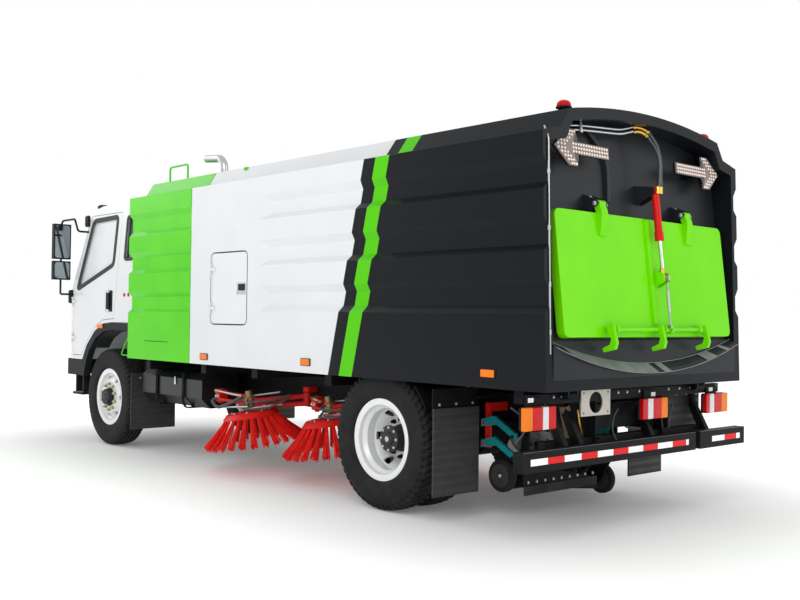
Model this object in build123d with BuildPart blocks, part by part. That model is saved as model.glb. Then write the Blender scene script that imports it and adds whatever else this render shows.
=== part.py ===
from build123d import *
import os
from math import atan2, cos, degrees, hypot, radians, sin

# Street sweeper truck.  Millimetres, +X forward, +Y left, +Z up.  The origin is
# on the ground, in the middle of the truck's length and width.  Places named
# "..._AFT" or "..._FORE" are distances behind or ahead of the rear axle.

# ---------------------------------------------------------------- driving sizes
WHEELBASE = 4500.0
NOSE_FORE = 5470.0          # rear axle to the nose of the cab
TYRE_RADIUS = 510.0
TYRE_WIDTH = 240.0
BEAD_RADIUS = 262.0         # inside of the tyre, on the rim's seats
RIM_EDGE = 296.0            # rim flange
FRONT_TRACK_HALF = 860.0    # middle plane of a front tyre
REAR_OUTER_HALF = 955.0     # middle plane of the outer rear tyre
TWIN_SPACING = 290.0        # between the two tyres of a rear pair
HAND_HOLES = 6
HAND_HOLE_RADIUS = 30.0
HAND_HOLE_CIRCLE = 205.0
KINGPIN_HALF = 690.0
KINGPIN_RADIUS = 22.0

FIT_GAP = 0.3               # between pieces that sit against each other
PIN_CLEARANCE = 0.05        # round a hinge pin or a shaft
SWING_GAP = 6.0             # between a moving piece and its frame

RAIL_HALF = 385.0           # middle of a chassis rail
RAIL_WIDTH = 80.0
RAIL_TOP = 860.0
RAIL_HEIGHT = 240.0
RAIL_WALL = 10.0
RAIL_FORE = 5050.0
RAIL_AFT = 1420.0

BODY_HALF = 1125.0
BODY_FLOOR = 950.0
BODY_SIDE_TOP = 2540.0
BODY_WALL = 70.0
LEDGE = (180.0, 46.0)       # in and up from the top of a body side
CHAMFER = (76.0, 121.0)     # in and up from the ledge to the roof's edge
ROOF_CROWN = 81.0
CABINET_FORE = 3780.0
PANEL_JOINT_FORE = 2580.0   # between the engine cabinet and the hopper
BODY_AFT = 1578.0
BODY_REAR_RAKE = 56.0
BODY_GAP = 12.0             # between the cabinet and the hopper

GROOVE_DEPTH = 40.0
GROOVE_FORE = 1480.0        # front end of the hopper's grooves
GROOVE_END_RUN = 100.0
# top, upper inner edge, lower inner edge, bottom
HOPPER_GROOVES = ((2390.0, 2330.0, 2226.0, 2183.0), (2014.0, 1958.0, 1847.0, 1804.0),
                  (1635.0, 1578.0, 1473.0, 1424.0))
CABINET_GROOVES = ((2373.0, 2325.0, 2199.0, 2152.0), (1992.0, 1948.0, 1822.0, 1783.0),
                   (1603.0, 1559.0, 1439.0, 1400.0))

TAIL_SLOPE = 6.8            # lean of the hopper's rear panel, in degrees
TAIL_ORIGIN_AFT = 1410.6    # on the rear panel, level with the hatch's top edge
TAIL_ORIGIN_Z = 2072.0
TAIL_PANEL = 50.0
TRAY_HALF = 1055.0
TRAY_INNER = (1530.0, 1105.0, 1262.0)   # distance aft, middle height, end height
TRAY_OUTER = (1600.0, 1040.0, 1222.0)

HATCH_HALF = 966.0
HATCH_LENGTH = 805.0
HATCH_FRAME = 20.0          # raised rim round the discharge opening
HATCH_THICK = 60.0
HATCH_CORNER = 45.0
HATCH_HINGE = (60.0, 92.0)  # up the panel and out from it
HINGE_HALF = 500.0
HINGE_PIN = 12.0
CYLINDER_Y = -72.0
CYLINDER_OUT = 140.0        # from the rear panel to the hatch cylinder's axis
CYLINDER_TOP = 190.0
CYLINDER_EYE = -411.0
HATCH_BARREL = 345.0
LOCK_SHAFT = (-759.0, 120.0)
LOCK_SHAFT_RADIUS = 14.0
HOOK_HALF = 545.0
HOOK_REACH = 30.0           # how far a hook's back stands behind its shaft
HOOK_DEPTH = 140.0
HOOK_BACK = 50.0            # from a hook's tip up to its rearmost corner

TIP_PIVOT_AFT = 1460.0
TIP_PIVOT_Z = 915.0
TIP_PIVOT_HALF = 745.0
TIP_PIN = 15.0

LIFT_FOOT = (-700.0, 690.0)     # fore of the rear axle, height
LIFT_EYE = (320.0, 905.0)
LIFT_BARREL = 820.0

CAB_HALF = 1000.0
CAB_WALL = 50.0
CAB_REAR_FORE = 3850.0
CAB_BOTTOM = 884.0
CAB_ROOF = 2550.0
CAB_PIVOT_FORE = 5350.0
CAB_PIVOT_Z = 610.0
DOOR_HINGE_FORE = 5335.0
CAB_PIN = 20.0
SPINDLE = 38.0
HALF_SHAFT = 60.0
TIP_EYE = 27.0
BRUSH_TILT = 9.0
BRUSH_PLATE = 250.0
BRUSH_TUFTS = 30
TUFT_LENGTH = 300.0
TUFT_FLARE = 38.0
NOZZLE_ROLL = 6.5

# ------------------------------------------------------------- worked-out sizes
slope_sin, slope_cos = sin(radians(TAIL_SLOPE)), cos(radians(TAIL_SLOPE))
TAIL_AFT = (TAIL_ORIGIN_AFT - (LOCK_SHAFT[0] - HOOK_DEPTH + HOOK_BACK) * slope_sin
            + (LOCK_SHAFT[1] + LOCK_SHAFT_RADIUS + HOOK_REACH) * slope_cos)
REAR_AXLE_X = (TAIL_AFT - NOSE_FORE) / 2
FRONT_AXLE_X = REAR_AXLE_X + WHEELBASE
REAR_MID_HALF = REAR_OUTER_HALF - TWIN_SPACING / 2
ROOF_EDGE_HALF = BODY_HALF - LEDGE[0] - CHAMFER[0]
ROOF_EDGE_Z = BODY_SIDE_TOP + LEDGE[1] + CHAMFER[1]
SIDES = (("left", 1), ("right", -1))


def fore(distance):
    """X of a place so far ahead of the rear axle."""
    return REAR_AXLE_X + distance


def on_tail(up, out, y=0.0):
    """A point given up the hopper's rear panel and out from it."""
    x = fore(-TAIL_ORIGIN_AFT) + up * slope_sin - out * slope_cos
    return (x, y, TAIL_ORIGIN_Z + up * slope_cos + out * slope_sin)


def tail_plane(up, out, y=0.0):
    """The plane parallel to the rear panel: local X to the right, local Y up."""
    return Plane(origin=on_tail(up, out, y), x_dir=(0, -1, 0), z_dir=(-slope_cos, 0, slope_sin))


def block(x, y, z, mode=Mode.ADD):
    """A box between pairs of limits, in any order."""
    with Locations(((x[0] + x[1]) / 2, (y[0] + y[1]) / 2, (z[0] + z[1]) / 2)):
        Box(abs(x[1] - x[0]), abs(y[1] - y[0]), abs(z[1] - z[0]), mode=mode)


def bar(start, end, radius, mode=Mode.ADD):
    """A round bar from one point to another."""
    run = Vector(end) - Vector(start)
    with Locations(Plane(origin=start, z_dir=run)):
        Cylinder(radius, run.length, align=(Align.CENTER, Align.CENTER, Align.MIN), mode=mode)


def prism(plane, points, depth, mode=Mode.ADD):
    """A polygon drawn on a plane and extruded along the plane's normal."""
    with BuildSketch(plane) as outline:
        with BuildLine():
            Polyline(*points, close=True)
        make_face()
    extrude(outline.sketch, amount=depth, mode=mode)


def side_plate(points, y, mode=Mode.ADD):
    """A plate seen from the side: points are (x, z), y is a pair of limits."""
    prism(Plane.XZ.offset(-max(y)), points, max(y) - min(y), mode)


def cross_plate(points, x, mode=Mode.ADD):
    """A plate seen from behind: points are (y, z), x is a pair of limits."""
    prism(Plane.YZ.offset(min(x)), points, max(x) - min(x), mode)


def turned(points, y):
    """A ring turned about a wheel's axle: points are (offset along the axle, radius)."""
    with BuildSketch(Plane.XY) as section:
        with BuildLine():
            Polyline(*[(radius, y + offset) for offset, radius in points], close=True)
        make_face()
    return revolve(section.sketch, axis=Axis.Y, mode=Mode.PRIVATE)


def pipe(points, radii, radius, mode=Mode.ADD):
    """A round tube along straight runs joined by arcs."""
    with BuildLine() as route:
        FilletPolyline(*points, radius=radii)
    with BuildSketch(Plane(origin=route.line @ 0, z_dir=route.line % 0)) as section:
        Circle(radius)
    sweep(section.sketch, path=route.line, mode=mode)


def save(piece, name):
    """Label a finished piece and write its STEP file."""
    piece.part.label = name
    export_step(piece.part, f"parts/{name}.step")


os.makedirs("parts", exist_ok=True)

# ======================================================================= chassis
CROSS_FORES = (-1290.0, 640.0, 1650.0, 2700.0, 3500.0, RAIL_FORE - 25)
BEARER_FORES = (-1290.0, 640.0, 1650.0, 2470.0, 3400.0)
BEARER_HALF = 1040.0
CABINET_BEARER_HALF = 1095.0
BEAM_X = (fore(-RAIL_AFT), fore(-RAIL_AFT + 40))
BEAM_HALF = 1090.0
BEAM_Z = (RAIL_TOP, 925.0)
LAMP_PLATE_X = (BEAM_X[0] - 12, BEAM_X[0])
LAMP_MIDDLES = (1056.0, -172.0, -974.0)
LAMP_SIZE = (52.0, 300.0, 146.0)
LAMP_Z = (712.0, 858.0)

with BuildPart() as chassis_frame:
    for name, side in SIDES:
        web = side * (RAIL_HALF + RAIL_WIDTH / 2)
        lip = side * (RAIL_HALF - RAIL_WIDTH / 2)
        skin = web - side * RAIL_WALL
        low, high = RAIL_TOP - RAIL_HEIGHT, RAIL_TOP
        channel = [(web, low), (web, high), (lip, high), (lip, high - RAIL_WALL),
                   (skin, high - RAIL_WALL), (skin, low + RAIL_WALL), (lip, low + RAIL_WALL), (lip, low)]
        cross_plate(channel, (fore(-RAIL_AFT), fore(RAIL_FORE)))
        tilt_lug = [(fore(RAIL_FORE - 120), RAIL_TOP), (fore(RAIL_FORE - 120), low + 80),
                    (fore(RAIL_FORE), low + 60), (fore(CAB_PIVOT_FORE - 60), CAB_PIVOT_Z - 35),
                    (fore(CAB_PIVOT_FORE + 30), CAB_PIVOT_Z - 35),
                    (fore(CAB_PIVOT_FORE + 30), CAB_PIVOT_Z + 30), (fore(RAIL_FORE + 60), RAIL_TOP - 40)]
        side_plate(tilt_lug, (web, web + side * 20))
        pivot_y = (side * (RAIL_HALF + RAIL_WIDTH / 2), side * (RAIL_HALF + RAIL_WIDTH / 2 + 60))
        bar((fore(CAB_PIVOT_FORE), pivot_y[0], CAB_PIVOT_Z), (fore(CAB_PIVOT_FORE), pivot_y[1], CAB_PIVOT_Z),
            CAB_PIN)
        block((fore(-TIP_PIVOT_AFT), fore(-RAIL_AFT)),
              (side * (TIP_PIVOT_HALF - 30), side * (TIP_PIVOT_HALF + 30)),
              (TIP_PIVOT_Z - 28, TIP_PIVOT_Z + 10))
        bar((fore(-TIP_PIVOT_AFT), side * (TIP_PIVOT_HALF - 30), TIP_PIVOT_Z),
            (fore(-TIP_PIVOT_AFT), side * (TIP_PIVOT_HALF + 30), TIP_PIVOT_Z), TIP_EYE)
        bar((fore(-TIP_PIVOT_AFT), side * (TIP_PIVOT_HALF - 31), TIP_PIVOT_Z),
            (fore(-TIP_PIVOT_AFT), side * (TIP_PIVOT_HALF + 31), TIP_PIVOT_Z),
            TIP_PIN + PIN_CLEARANCE, mode=Mode.SUBTRACT)
    for place in CROSS_FORES:
        block((fore(place - 40), fore(place + 40)), (-RAIL_HALF - 30, RAIL_HALF + 30),
              (RAIL_TOP - RAIL_HEIGHT + 40, RAIL_TOP - 40))
    for place in BEARER_FORES:
        half = CABINET_BEARER_HALF if place > PANEL_JOINT_FORE else BEARER_HALF
        block((fore(place - 40), fore(place + 40)), (-half, half), (RAIL_TOP, BODY_FLOOR - FIT_GAP))
    block(BEAM_X, (-BEAM_HALF, BEAM_HALF), BEAM_Z)
    # cross member with two ears and the pin of the lift cylinder's foot
    block((fore(LIFT_FOOT[0] - 130), fore(LIFT_FOOT[0] - 60)), (-RAIL_HALF - 30, RAIL_HALF + 30),
          (LIFT_FOOT[1] - 45, LIFT_FOOT[1] + 45))
    for ear in (-1, 1):
        block((fore(LIFT_FOOT[0] - 61), fore(LIFT_FOOT[0] + 30)), (ear * (50 + SWING_GAP), ear * 74),
              (LIFT_FOOT[1] - 40, LIFT_FOOT[1] + 40))
    bar((fore(LIFT_FOOT[0]), -74, LIFT_FOOT[1]), (fore(LIFT_FOOT[0]), 74, LIFT_FOOT[1]), 20)
    for middle in LAMP_MIDDLES:
        block(LAMP_PLATE_X, (middle - 70, middle + 70), (LAMP_Z[0] + 20, BEAM_Z[1] - 15))
save(chassis_frame, "chassis_frame")

with BuildPart() as tail_lamps:
    for middle in LAMP_MIDDLES:
        block((LAMP_PLATE_X[0] - LAMP_SIZE[0], LAMP_PLATE_X[0]),
              (middle - LAMP_SIZE[1] / 2, middle + LAMP_SIZE[1] / 2), LAMP_Z)
save(tail_lamps, "tail_lamps")

# Square hose flange: a plate with a round bore and four bolt holes.
FLANGE_Y = 438.0
FLANGE_Z = 852.0
FLANGE_HALF = (155.0, 86.0)
FLANGE_THICK = 12.0
FLANGE_BORE = 70.0
FLANGE_BOLTS = (260.0, 130.0)
FLANGE_BOLT_HOLE = 7.0

with BuildPart() as hose_flange:
    face_x = BEAM_X[0]
    with BuildSketch(Plane.YZ.offset(face_x)):
        with Locations((FLANGE_Y, FLANGE_Z)):
            RectangleRounded(2 * FLANGE_HALF[0], 2 * FLANGE_HALF[1], 6)
            Circle(FLANGE_BORE, mode=Mode.SUBTRACT)
            with GridLocations(FLANGE_BOLTS[0], FLANGE_BOLTS[1], 2, 2):
                Circle(FLANGE_BOLT_HOLE, mode=Mode.SUBTRACT)
    extrude(amount=-FLANGE_THICK)
save(hose_flange, "hose_flange")

# Rear bumper: two box bars with a gap between them, on arms from the rails.
BUMPER_X = (fore(-1535), fore(-1455))
BUMPER_HALF = 1275.0
BUMPER_BARS = (((-600.0, BUMPER_HALF), (472.0, 596.0)), ((-BUMPER_HALF, -660.0), (472.0, 596.0)))
BUMPER_ARMS = (385.0, -385.0)
BUMPER_POSTS = (760.0, 600.0, -200.0, -900.0)
POST_FORE = -1275.0
POST_WIDTH = 44.0

with BuildPart() as rear_bumper:
    for y_span, z_span in BUMPER_BARS:
        block(BUMPER_X, y_span, z_span)
    for arm in BUMPER_ARMS:
        slope = [(fore(-RAIL_AFT + 60), 560), (fore(-RAIL_AFT + 110), 620), (fore(-RAIL_AFT + 30), 620),
                 (BUMPER_X[1], 565), (BUMPER_X[1], 500), (fore(-RAIL_AFT + 30), 500)]
        side_plate(slope, (arm - 25, arm + 25))
    for post in BUMPER_POSTS:
        foot = BUMPER_X[1]
        if abs(post) < RAIL_HALF:
            member = fore(CROSS_FORES[0] - 40) - FIT_GAP
            head = [(member, 805), (member, 690)]
        else:
            head = [(fore(POST_FORE - 25), RAIL_TOP - FIT_GAP), (fore(POST_FORE + 25), RAIL_TOP - FIT_GAP)]
        lean = [*head, (foot + 50, 540), (foot, 500), (foot, 580)]
        side_plate(lean, (post - POST_WIDTH / 2, post + POST_WIDTH / 2))
    block((fore(-RAIL_AFT + 30), fore(-RAIL_AFT + 90)), (-900, 900), (560, RAIL_TOP - RAIL_HEIGHT))
save(rear_bumper, "rear_bumper")

# ------------------------------------------------------------- axles and springs
AXLE_Z = TYRE_RADIUS
SPRING_WIDTH = 75.0
SPRING_HALF = {"front": 387.5, "rear": RAIL_HALF + RAIL_WIDTH / 2 + FIT_GAP + SPRING_WIDTH / 2}
# axle, half length, thickness, rise of the ends, underside height
SPRINGS = (("front", WHEELBASE, 700.0, 50.0, 34.7, 560.0), ("rear", 0.0, 760.0, 90.0, 50.0, 595.0))
FRONT_BEAM_Z = 470.0
KNUCKLE_HALF = 75.0

with BuildPart() as front_axle:
    beam = [(-KINGPIN_HALF, 505), (-KINGPIN_HALF + 120, 440), (KINGPIN_HALF - 120, 440), (KINGPIN_HALF, 505),
            (KINGPIN_HALF, 565), (KINGPIN_HALF - 110, 510), (-KINGPIN_HALF + 110, 510), (-KINGPIN_HALF, 565)]
    cross_plate(beam, (FRONT_AXLE_X - 40, FRONT_AXLE_X + 40))
    for name, side in SIDES:
        bar((FRONT_AXLE_X, side * KINGPIN_HALF, AXLE_Z - KNUCKLE_HALF + 25),
            (FRONT_AXLE_X, side * KINGPIN_HALF, AXLE_Z + KNUCKLE_HALF - 25), 45)
        block((FRONT_AXLE_X - 60, FRONT_AXLE_X + 60),
              (side * SPRING_HALF["front"] - 45, side * SPRING_HALF["front"] + 45), (500, 560 - FIT_GAP))
        bar((FRONT_AXLE_X, side * KINGPIN_HALF, AXLE_Z - 90),
            (FRONT_AXLE_X, side * KINGPIN_HALF, AXLE_Z + 90),
            KINGPIN_RADIUS)
save(front_axle, "front_axle")

with BuildPart() as rear_axle:
    for radius, half in ((190.0, 130.0), (85.0, 400.0), (HALF_SHAFT, REAR_MID_HALF - 32)):
        bar((REAR_AXLE_X, -half, AXLE_Z), (REAR_AXLE_X, half, AXLE_Z), radius)
    for name, side in SIDES:
        block((REAR_AXLE_X - 70, REAR_AXLE_X + 70),
              (side * SPRING_HALF["rear"] - 45, side * SPRING_HALF["rear"] + 45), (AXLE_Z, 595 - FIT_GAP))
    bar((REAR_AXLE_X, 0, AXLE_Z), (fore(260), 0, AXLE_Z + 12), 90)
    bar((fore(240), 0, AXLE_Z + 11), (fore(3300), 0, 590), 45)
save(rear_axle, "rear_axle")

with BuildPart() as leaf_springs:
    for name, place, half, thick, rise, base in SPRINGS:
        for side_name, side in SIDES:
            leaf = [(fore(place) - half, base + rise), (fore(place) - half / 3, base),
                    (fore(place) + half / 3, base),
                    (fore(place) + half, base + rise), (fore(place) + half, base + rise + 25),
                    (fore(place) + half / 3, base + thick), (fore(place) - half / 3, base + thick),
                    (fore(place) - half, base + rise + 25)]
            middle = side * SPRING_HALF[name]
            side_plate(leaf, (middle - SPRING_WIDTH / 2, middle + SPRING_WIDTH / 2))
save(leaf_springs, "leaf_springs")

with BuildPart() as engine_block:
    block((fore(3830), fore(4850)), (-270, 270), (600, 1090))
    for place in (3990, 4690):
        block((fore(place - 40), fore(place + 40)), (-RAIL_HALF - 10, RAIL_HALF + 10),
              (RAIL_TOP - RAIL_HEIGHT + RAIL_WALL + FIT_GAP, 700))
save(engine_block, "engine_block")

with BuildPart() as sweeper_engine:
    block((fore(2760), fore(3620)), (-420, 420), (BODY_FLOOR - FIT_GAP, 1750))
save(sweeper_engine, "sweeper_engine")

# ------------------------------------------------------------------------ wheels
# offset along the axle from the tyre's middle plane, radius
TYRE_SECTION = ((-100.0, 268.0), (-112.0, 300.0), (-120.0, 385.0), (-114.0, 455.0), (-98.0, 497.0),
                (-60.0, TYRE_RADIUS), (60.0, TYRE_RADIUS), (98.0, 497.0), (114.0, 455.0),
                (120.0, 385.0), (112.0, 300.0), (100.0, 268.0))
RIM_SECTION = ((-100.0, RIM_EDGE), (-90.0, RIM_EDGE), (-84.0, BEAD_RADIUS), (-60.0, 258.0), (-40.0, 236.0),
               (30.0, 236.0), (60.0, 258.0), (84.0, BEAD_RADIUS), (90.0, RIM_EDGE), (100.0, RIM_EDGE),
               (100.0, 286.0), (94.0, 252.0), (64.0, 246.0), (36.0, 224.0), (-46.0, 224.0),
               (-66.0, 246.0), (-94.0, 252.0), (-100.0, 286.0))
DISC_FACE = 92.0            # a front wheel's disc stands out to here
DISC_THICK = 12.0
HUB_RADIUS = 84.0
HUB_CAP = 60.0
NUT_CIRCLE = 137.5
NUTS = 10


def wheel_pieces(y, discs):
    """Tyre ring, and rim with its disc, in the plane y; discs lists disc outlines."""
    tyre = turned([(offset, radius + (FIT_GAP if radius < RIM_EDGE + 10 else 0))
                   for offset, radius in TYRE_SECTION], y)
    tyre -= turned([(-110, 200), (-110, RIM_EDGE + FIT_GAP), (-84 - FIT_GAP, RIM_EDGE + FIT_GAP),
                    (-84 - FIT_GAP, 266), (84 + FIT_GAP, 266), (84 + FIT_GAP, RIM_EDGE + FIT_GAP),
                    (110, RIM_EDGE + FIT_GAP), (110, 200)], y)
    rim = turned(RIM_SECTION, y)
    for disc in discs:
        rim += turned(disc, y)
    return tyre, rim


def disc_outline(face, side):
    """Cone from the rim's well to the flat hub face: the disc of one wheel."""
    thick = DISC_THICK * (1 if face > 0 else -1)
    near = 30.0 if face > 0 else -40.0
    return [(side * x, r) for x, r in ((near, 226), (near - thick, 226), (face * 0.72 - thick, 184),
                                       (face - thick, 160), (face - thick, 70), (face, 70),
                                       (face, 168), (face * 0.72, 196))]


for name, side in SIDES:
    with BuildPart() as tyre_front:
        front_tyre, front_rim = wheel_pieces(side * FRONT_TRACK_HALF, [disc_outline(DISC_FACE, side)])
        with Locations((FRONT_AXLE_X, 0, AXLE_Z)):
            add(front_tyre)
    save(tyre_front, f"tyre_front_{name}")

    with BuildPart() as rim_front:
        face_y = side * (FRONT_TRACK_HALF + DISC_FACE)
        with Locations((FRONT_AXLE_X, 0, AXLE_Z)):
            add(front_rim)
        bar((FRONT_AXLE_X, side * (FRONT_TRACK_HALF - 50), AXLE_Z),
            (FRONT_AXLE_X, face_y + side * 8, AXLE_Z), HUB_RADIUS)
        bar((FRONT_AXLE_X, face_y, AXLE_Z), (FRONT_AXLE_X, face_y + side * HUB_CAP, AXLE_Z), HUB_RADIUS - 8)
        with Locations(Plane(origin=(FRONT_AXLE_X, face_y, AXLE_Z), z_dir=(0, side, 0))):
            with PolarLocations(HAND_HOLE_CIRCLE, HAND_HOLES, start_angle=30):
                Cylinder(HAND_HOLE_RADIUS, 200, mode=Mode.SUBTRACT)
            with PolarLocations(NUT_CIRCLE, NUTS):
                Cylinder(13, 30, align=(Align.CENTER, Align.CENTER, Align.MIN))
        bar((FRONT_AXLE_X, side * (FRONT_TRACK_HALF - 51), AXLE_Z),
            (FRONT_AXLE_X, side * (FRONT_TRACK_HALF + 40), AXLE_Z), SPINDLE + PIN_CLEARANCE,
            mode=Mode.SUBTRACT)
    save(rim_front, f"rim_front_{name}")

    inner_y, outer_y = side * (REAR_OUTER_HALF - TWIN_SPACING), side * REAR_OUTER_HALF
    inner_tyre, inner_rim = wheel_pieces(inner_y, [disc_outline(TWIN_SPACING / 2, side)])
    outer_tyre, outer_rim = wheel_pieces(outer_y, [disc_outline(-TWIN_SPACING / 2, side)])
    with BuildPart() as tyre_rear:
        with Locations((REAR_AXLE_X, 0, AXLE_Z)):
            add(inner_tyre)
            add(outer_tyre)
    save(tyre_rear, f"tyre_rear_{name}")

    with BuildPart() as rim_rear:
        with Locations((REAR_AXLE_X, 0, AXLE_Z)):
            add(inner_rim)
            add(outer_rim)
        bar((REAR_AXLE_X, side * (REAR_MID_HALF - 50), AXLE_Z),
            (REAR_AXLE_X, side * (REAR_MID_HALF + 150), AXLE_Z), HUB_RADIUS)
        with Locations(Plane(origin=(REAR_AXLE_X, side * REAR_MID_HALF, AXLE_Z), z_dir=(0, side, 0))):
            with PolarLocations(HAND_HOLE_CIRCLE, HAND_HOLES, start_angle=30):
                Cylinder(HAND_HOLE_RADIUS, 200, mode=Mode.SUBTRACT)
            with PolarLocations(NUT_CIRCLE, NUTS):
                Cylinder(13, 80, align=(Align.CENTER, Align.CENTER, Align.CENTER))
        bar((REAR_AXLE_X, side * (REAR_MID_HALF - 51), AXLE_Z),
            (REAR_AXLE_X, side * (REAR_MID_HALF - 30), AXLE_Z),
            HALF_SHAFT + PIN_CLEARANCE, mode=Mode.SUBTRACT)
    save(rim_rear, f"rim_rear_{name}")

    # Steering knuckle: a fork round the kingpin and the spindle that carries the wheel.
    with BuildPart() as knuckle:
        for level in (-1, 1):
            block((FRONT_AXLE_X - 50, FRONT_AXLE_X + 50),
                  (side * (KINGPIN_HALF - 45), side * (KINGPIN_HALF + 60)),
                  (AXLE_Z + level * (KNUCKLE_HALF - 20), AXLE_Z + level * (KNUCKLE_HALF + 20)))
        block((FRONT_AXLE_X - 50, FRONT_AXLE_X + 50),
              (side * (KINGPIN_HALF + 55), side * (KINGPIN_HALF + 85)),
              (AXLE_Z - KNUCKLE_HALF - 20, AXLE_Z + KNUCKLE_HALF + 20))
        bar((FRONT_AXLE_X, side * (KINGPIN_HALF + 80), AXLE_Z),
            (FRONT_AXLE_X, side * (FRONT_TRACK_HALF + 40), AXLE_Z), SPINDLE)
        bar((FRONT_AXLE_X, side * KINGPIN_HALF, AXLE_Z - 120),
            (FRONT_AXLE_X, side * KINGPIN_HALF, AXLE_Z + 120),
            KINGPIN_RADIUS + PIN_CLEARANCE, mode=Mode.SUBTRACT)
        bar((FRONT_AXLE_X - 50, side * (KINGPIN_HALF - 20), AXLE_Z - KNUCKLE_HALF),
            (FRONT_AXLE_X - 190, side * (KINGPIN_HALF - 45), AXLE_Z - KNUCKLE_HALF), 18)
    save(knuckle, f"knuckle_{name}")

# -------------------------------------------------- tank, mudguards and mudflaps
TANK_FORE = (2640.0, 3790.0)
TANK_Y = (560.0, 950.0)
TANK_Z = (520.0, 842.0)
STRAP_FORES = (2950.0, 3490.0)

with BuildPart() as fuel_tank:
    corner, shelf = 90.0, 60.0
    tank = [(TANK_Y[0], TANK_Z[0] + 40), (TANK_Y[0] + 40, TANK_Z[0]), (TANK_Y[1] - corner, TANK_Z[0]),
            (TANK_Y[1], TANK_Z[0] + corner), (TANK_Y[1], TANK_Z[1] - shelf), (TANK_Y[1] - shelf, TANK_Z[1]),
            (TANK_Y[0], TANK_Z[1])]
    cross_plate(tank, (fore(TANK_FORE[0]), fore(TANK_FORE[1])))
    for place in STRAP_FORES:
        strap = [(TANK_Y[0], TANK_Z[0] + 30), (TANK_Y[0] + 36, TANK_Z[0] - 6),
                 (TANK_Y[1] - corner + 3, TANK_Z[0] - 6), (TANK_Y[1] + 6, TANK_Z[0] + corner - 3),
                 (TANK_Y[1] + 6, TANK_Z[1] - shelf + 3), (TANK_Y[1] - shelf + 3, TANK_Z[1] + 6),
                 (TANK_Y[0], TANK_Z[1] + 6)]
        cross_plate(strap, (fore(place - 22), fore(place + 22)))
        block((fore(place - 22), fore(place + 22)), (RAIL_HALF + RAIL_WIDTH / 2, TANK_Y[0]),
              (TANK_Z[0] + 40, TANK_Z[1] + 6))
save(fuel_tank, "fuel_tank")

FENDER_RADIUS = 562.0
FENDER_THICK = 8.0
FENDER_Y = (600.0, 1095.0)
FENDER_FOOT = 770.0
FLAP_THICK = 12.0
# distance fore, y limits, z limits
REAR_FLAP = ({"left": -628.0, "right": -890.0}, (700.0, 1140.0), (190.0, 782.0))
FRONT_FLAP = (3895.0, (520.0, 1020.0), (220.0, 790.0))
FLAP_PLATE_TOP = 915.0

with BuildPart() as rear_mudguards:
    for name, side in SIDES:
        fender = turned([(side * FENDER_Y[0], FENDER_RADIUS),
                         (side * FENDER_Y[0], FENDER_RADIUS + FENDER_THICK),
                         (side * FENDER_Y[1], FENDER_RADIUS + FENDER_THICK),
                         (side * FENDER_Y[1], FENDER_RADIUS)], 0)
        with Locations((REAR_AXLE_X, 0, AXLE_Z)):
            add(fender)
    block((fore(0), fore(700)), (-1200, 1200), (-100, 1300), mode=Mode.SUBTRACT)
    block((fore(-700), fore(0)), (-1200, 1200), (BODY_FLOOR - 30, 1300), mode=Mode.SUBTRACT)
    block((fore(-700), fore(0)), (-1200, 1200), (-100, FENDER_FOOT), mode=Mode.SUBTRACT)
    for name, side in SIDES:
        plate_x = fore(REAR_FLAP[0][name]) + FLAP_THICK / 2 + 8
        block((plate_x - 8, plate_x), (side * REAR_FLAP[1][0], side * REAR_FLAP[1][1]),
              (REAR_FLAP[2][1] - 60, FLAP_PLATE_TOP))
        block((plate_x - 8, fore(-FENDER_RADIUS + 60)), (side * 800, side * 1000),
              (FENDER_FOOT, FENDER_FOOT + 10))
        block((plate_x - 30, plate_x), (side * (RAIL_HALF + RAIL_WIDTH / 2), side * (REAR_FLAP[1][0] + 40)),
              (FLAP_PLATE_TOP - 85, FLAP_PLATE_TOP - 60))
save(rear_mudguards, "rear_mudguards")

with BuildPart() as mudflaps:
    for name, side in SIDES:
        flap_x = fore(REAR_FLAP[0][name])
        block((flap_x - FLAP_THICK / 2, flap_x + FLAP_THICK / 2),
              (side * REAR_FLAP[1][0], side * REAR_FLAP[1][1]), REAR_FLAP[2])
        block((fore(FRONT_FLAP[0] - FLAP_THICK / 2), fore(FRONT_FLAP[0] + FLAP_THICK / 2)),
              (side * FRONT_FLAP[1][0], side * FRONT_FLAP[1][1]), FRONT_FLAP[2])
        block((fore(FRONT_FLAP[0] - 20), fore(FRONT_FLAP[0] + 20)),
              (side * (RAIL_HALF + RAIL_WIDTH / 2), side * (FRONT_FLAP[1][0] + 60)), (720, 760))
save(mudflaps, "mudflaps")

# ======================================================== engine cabinet (green)
CABINET_X = (fore(PANEL_JOINT_FORE + BODY_GAP / 2), fore(CABINET_FORE))
HOPPER_X = (fore(-BODY_AFT), fore(PANEL_JOINT_FORE - BODY_GAP / 2))



def body_profile(plane, inset=0.0, floor=BODY_FLOOR):
    """Face of the body's cross-section, shrunk all round by a wall's thickness."""
    half, edge = BODY_HALF - inset, ROOF_EDGE_HALF - inset * 0.5
    with BuildSketch(plane) as outline:
        with BuildLine():
            Polyline((-edge, ROOF_EDGE_Z - inset),
                     (-BODY_HALF + LEDGE[0] + inset * 0.7, BODY_SIDE_TOP + LEDGE[1] - inset),
                     (-half, BODY_SIDE_TOP - inset * 0.8), (-half, floor), (half, floor),
                     (half, BODY_SIDE_TOP - inset * 0.8),
                     (BODY_HALF - LEDGE[0] - inset * 0.7, BODY_SIDE_TOP + LEDGE[1] - inset),
                     (edge, ROOF_EDGE_Z - inset))
            ThreePointArc((edge, ROOF_EDGE_Z - inset), (0, ROOF_EDGE_Z + ROOF_CROWN - inset),
                          (-edge, ROOF_EDGE_Z - inset))
        make_face()
    return outline.sketch


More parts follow.
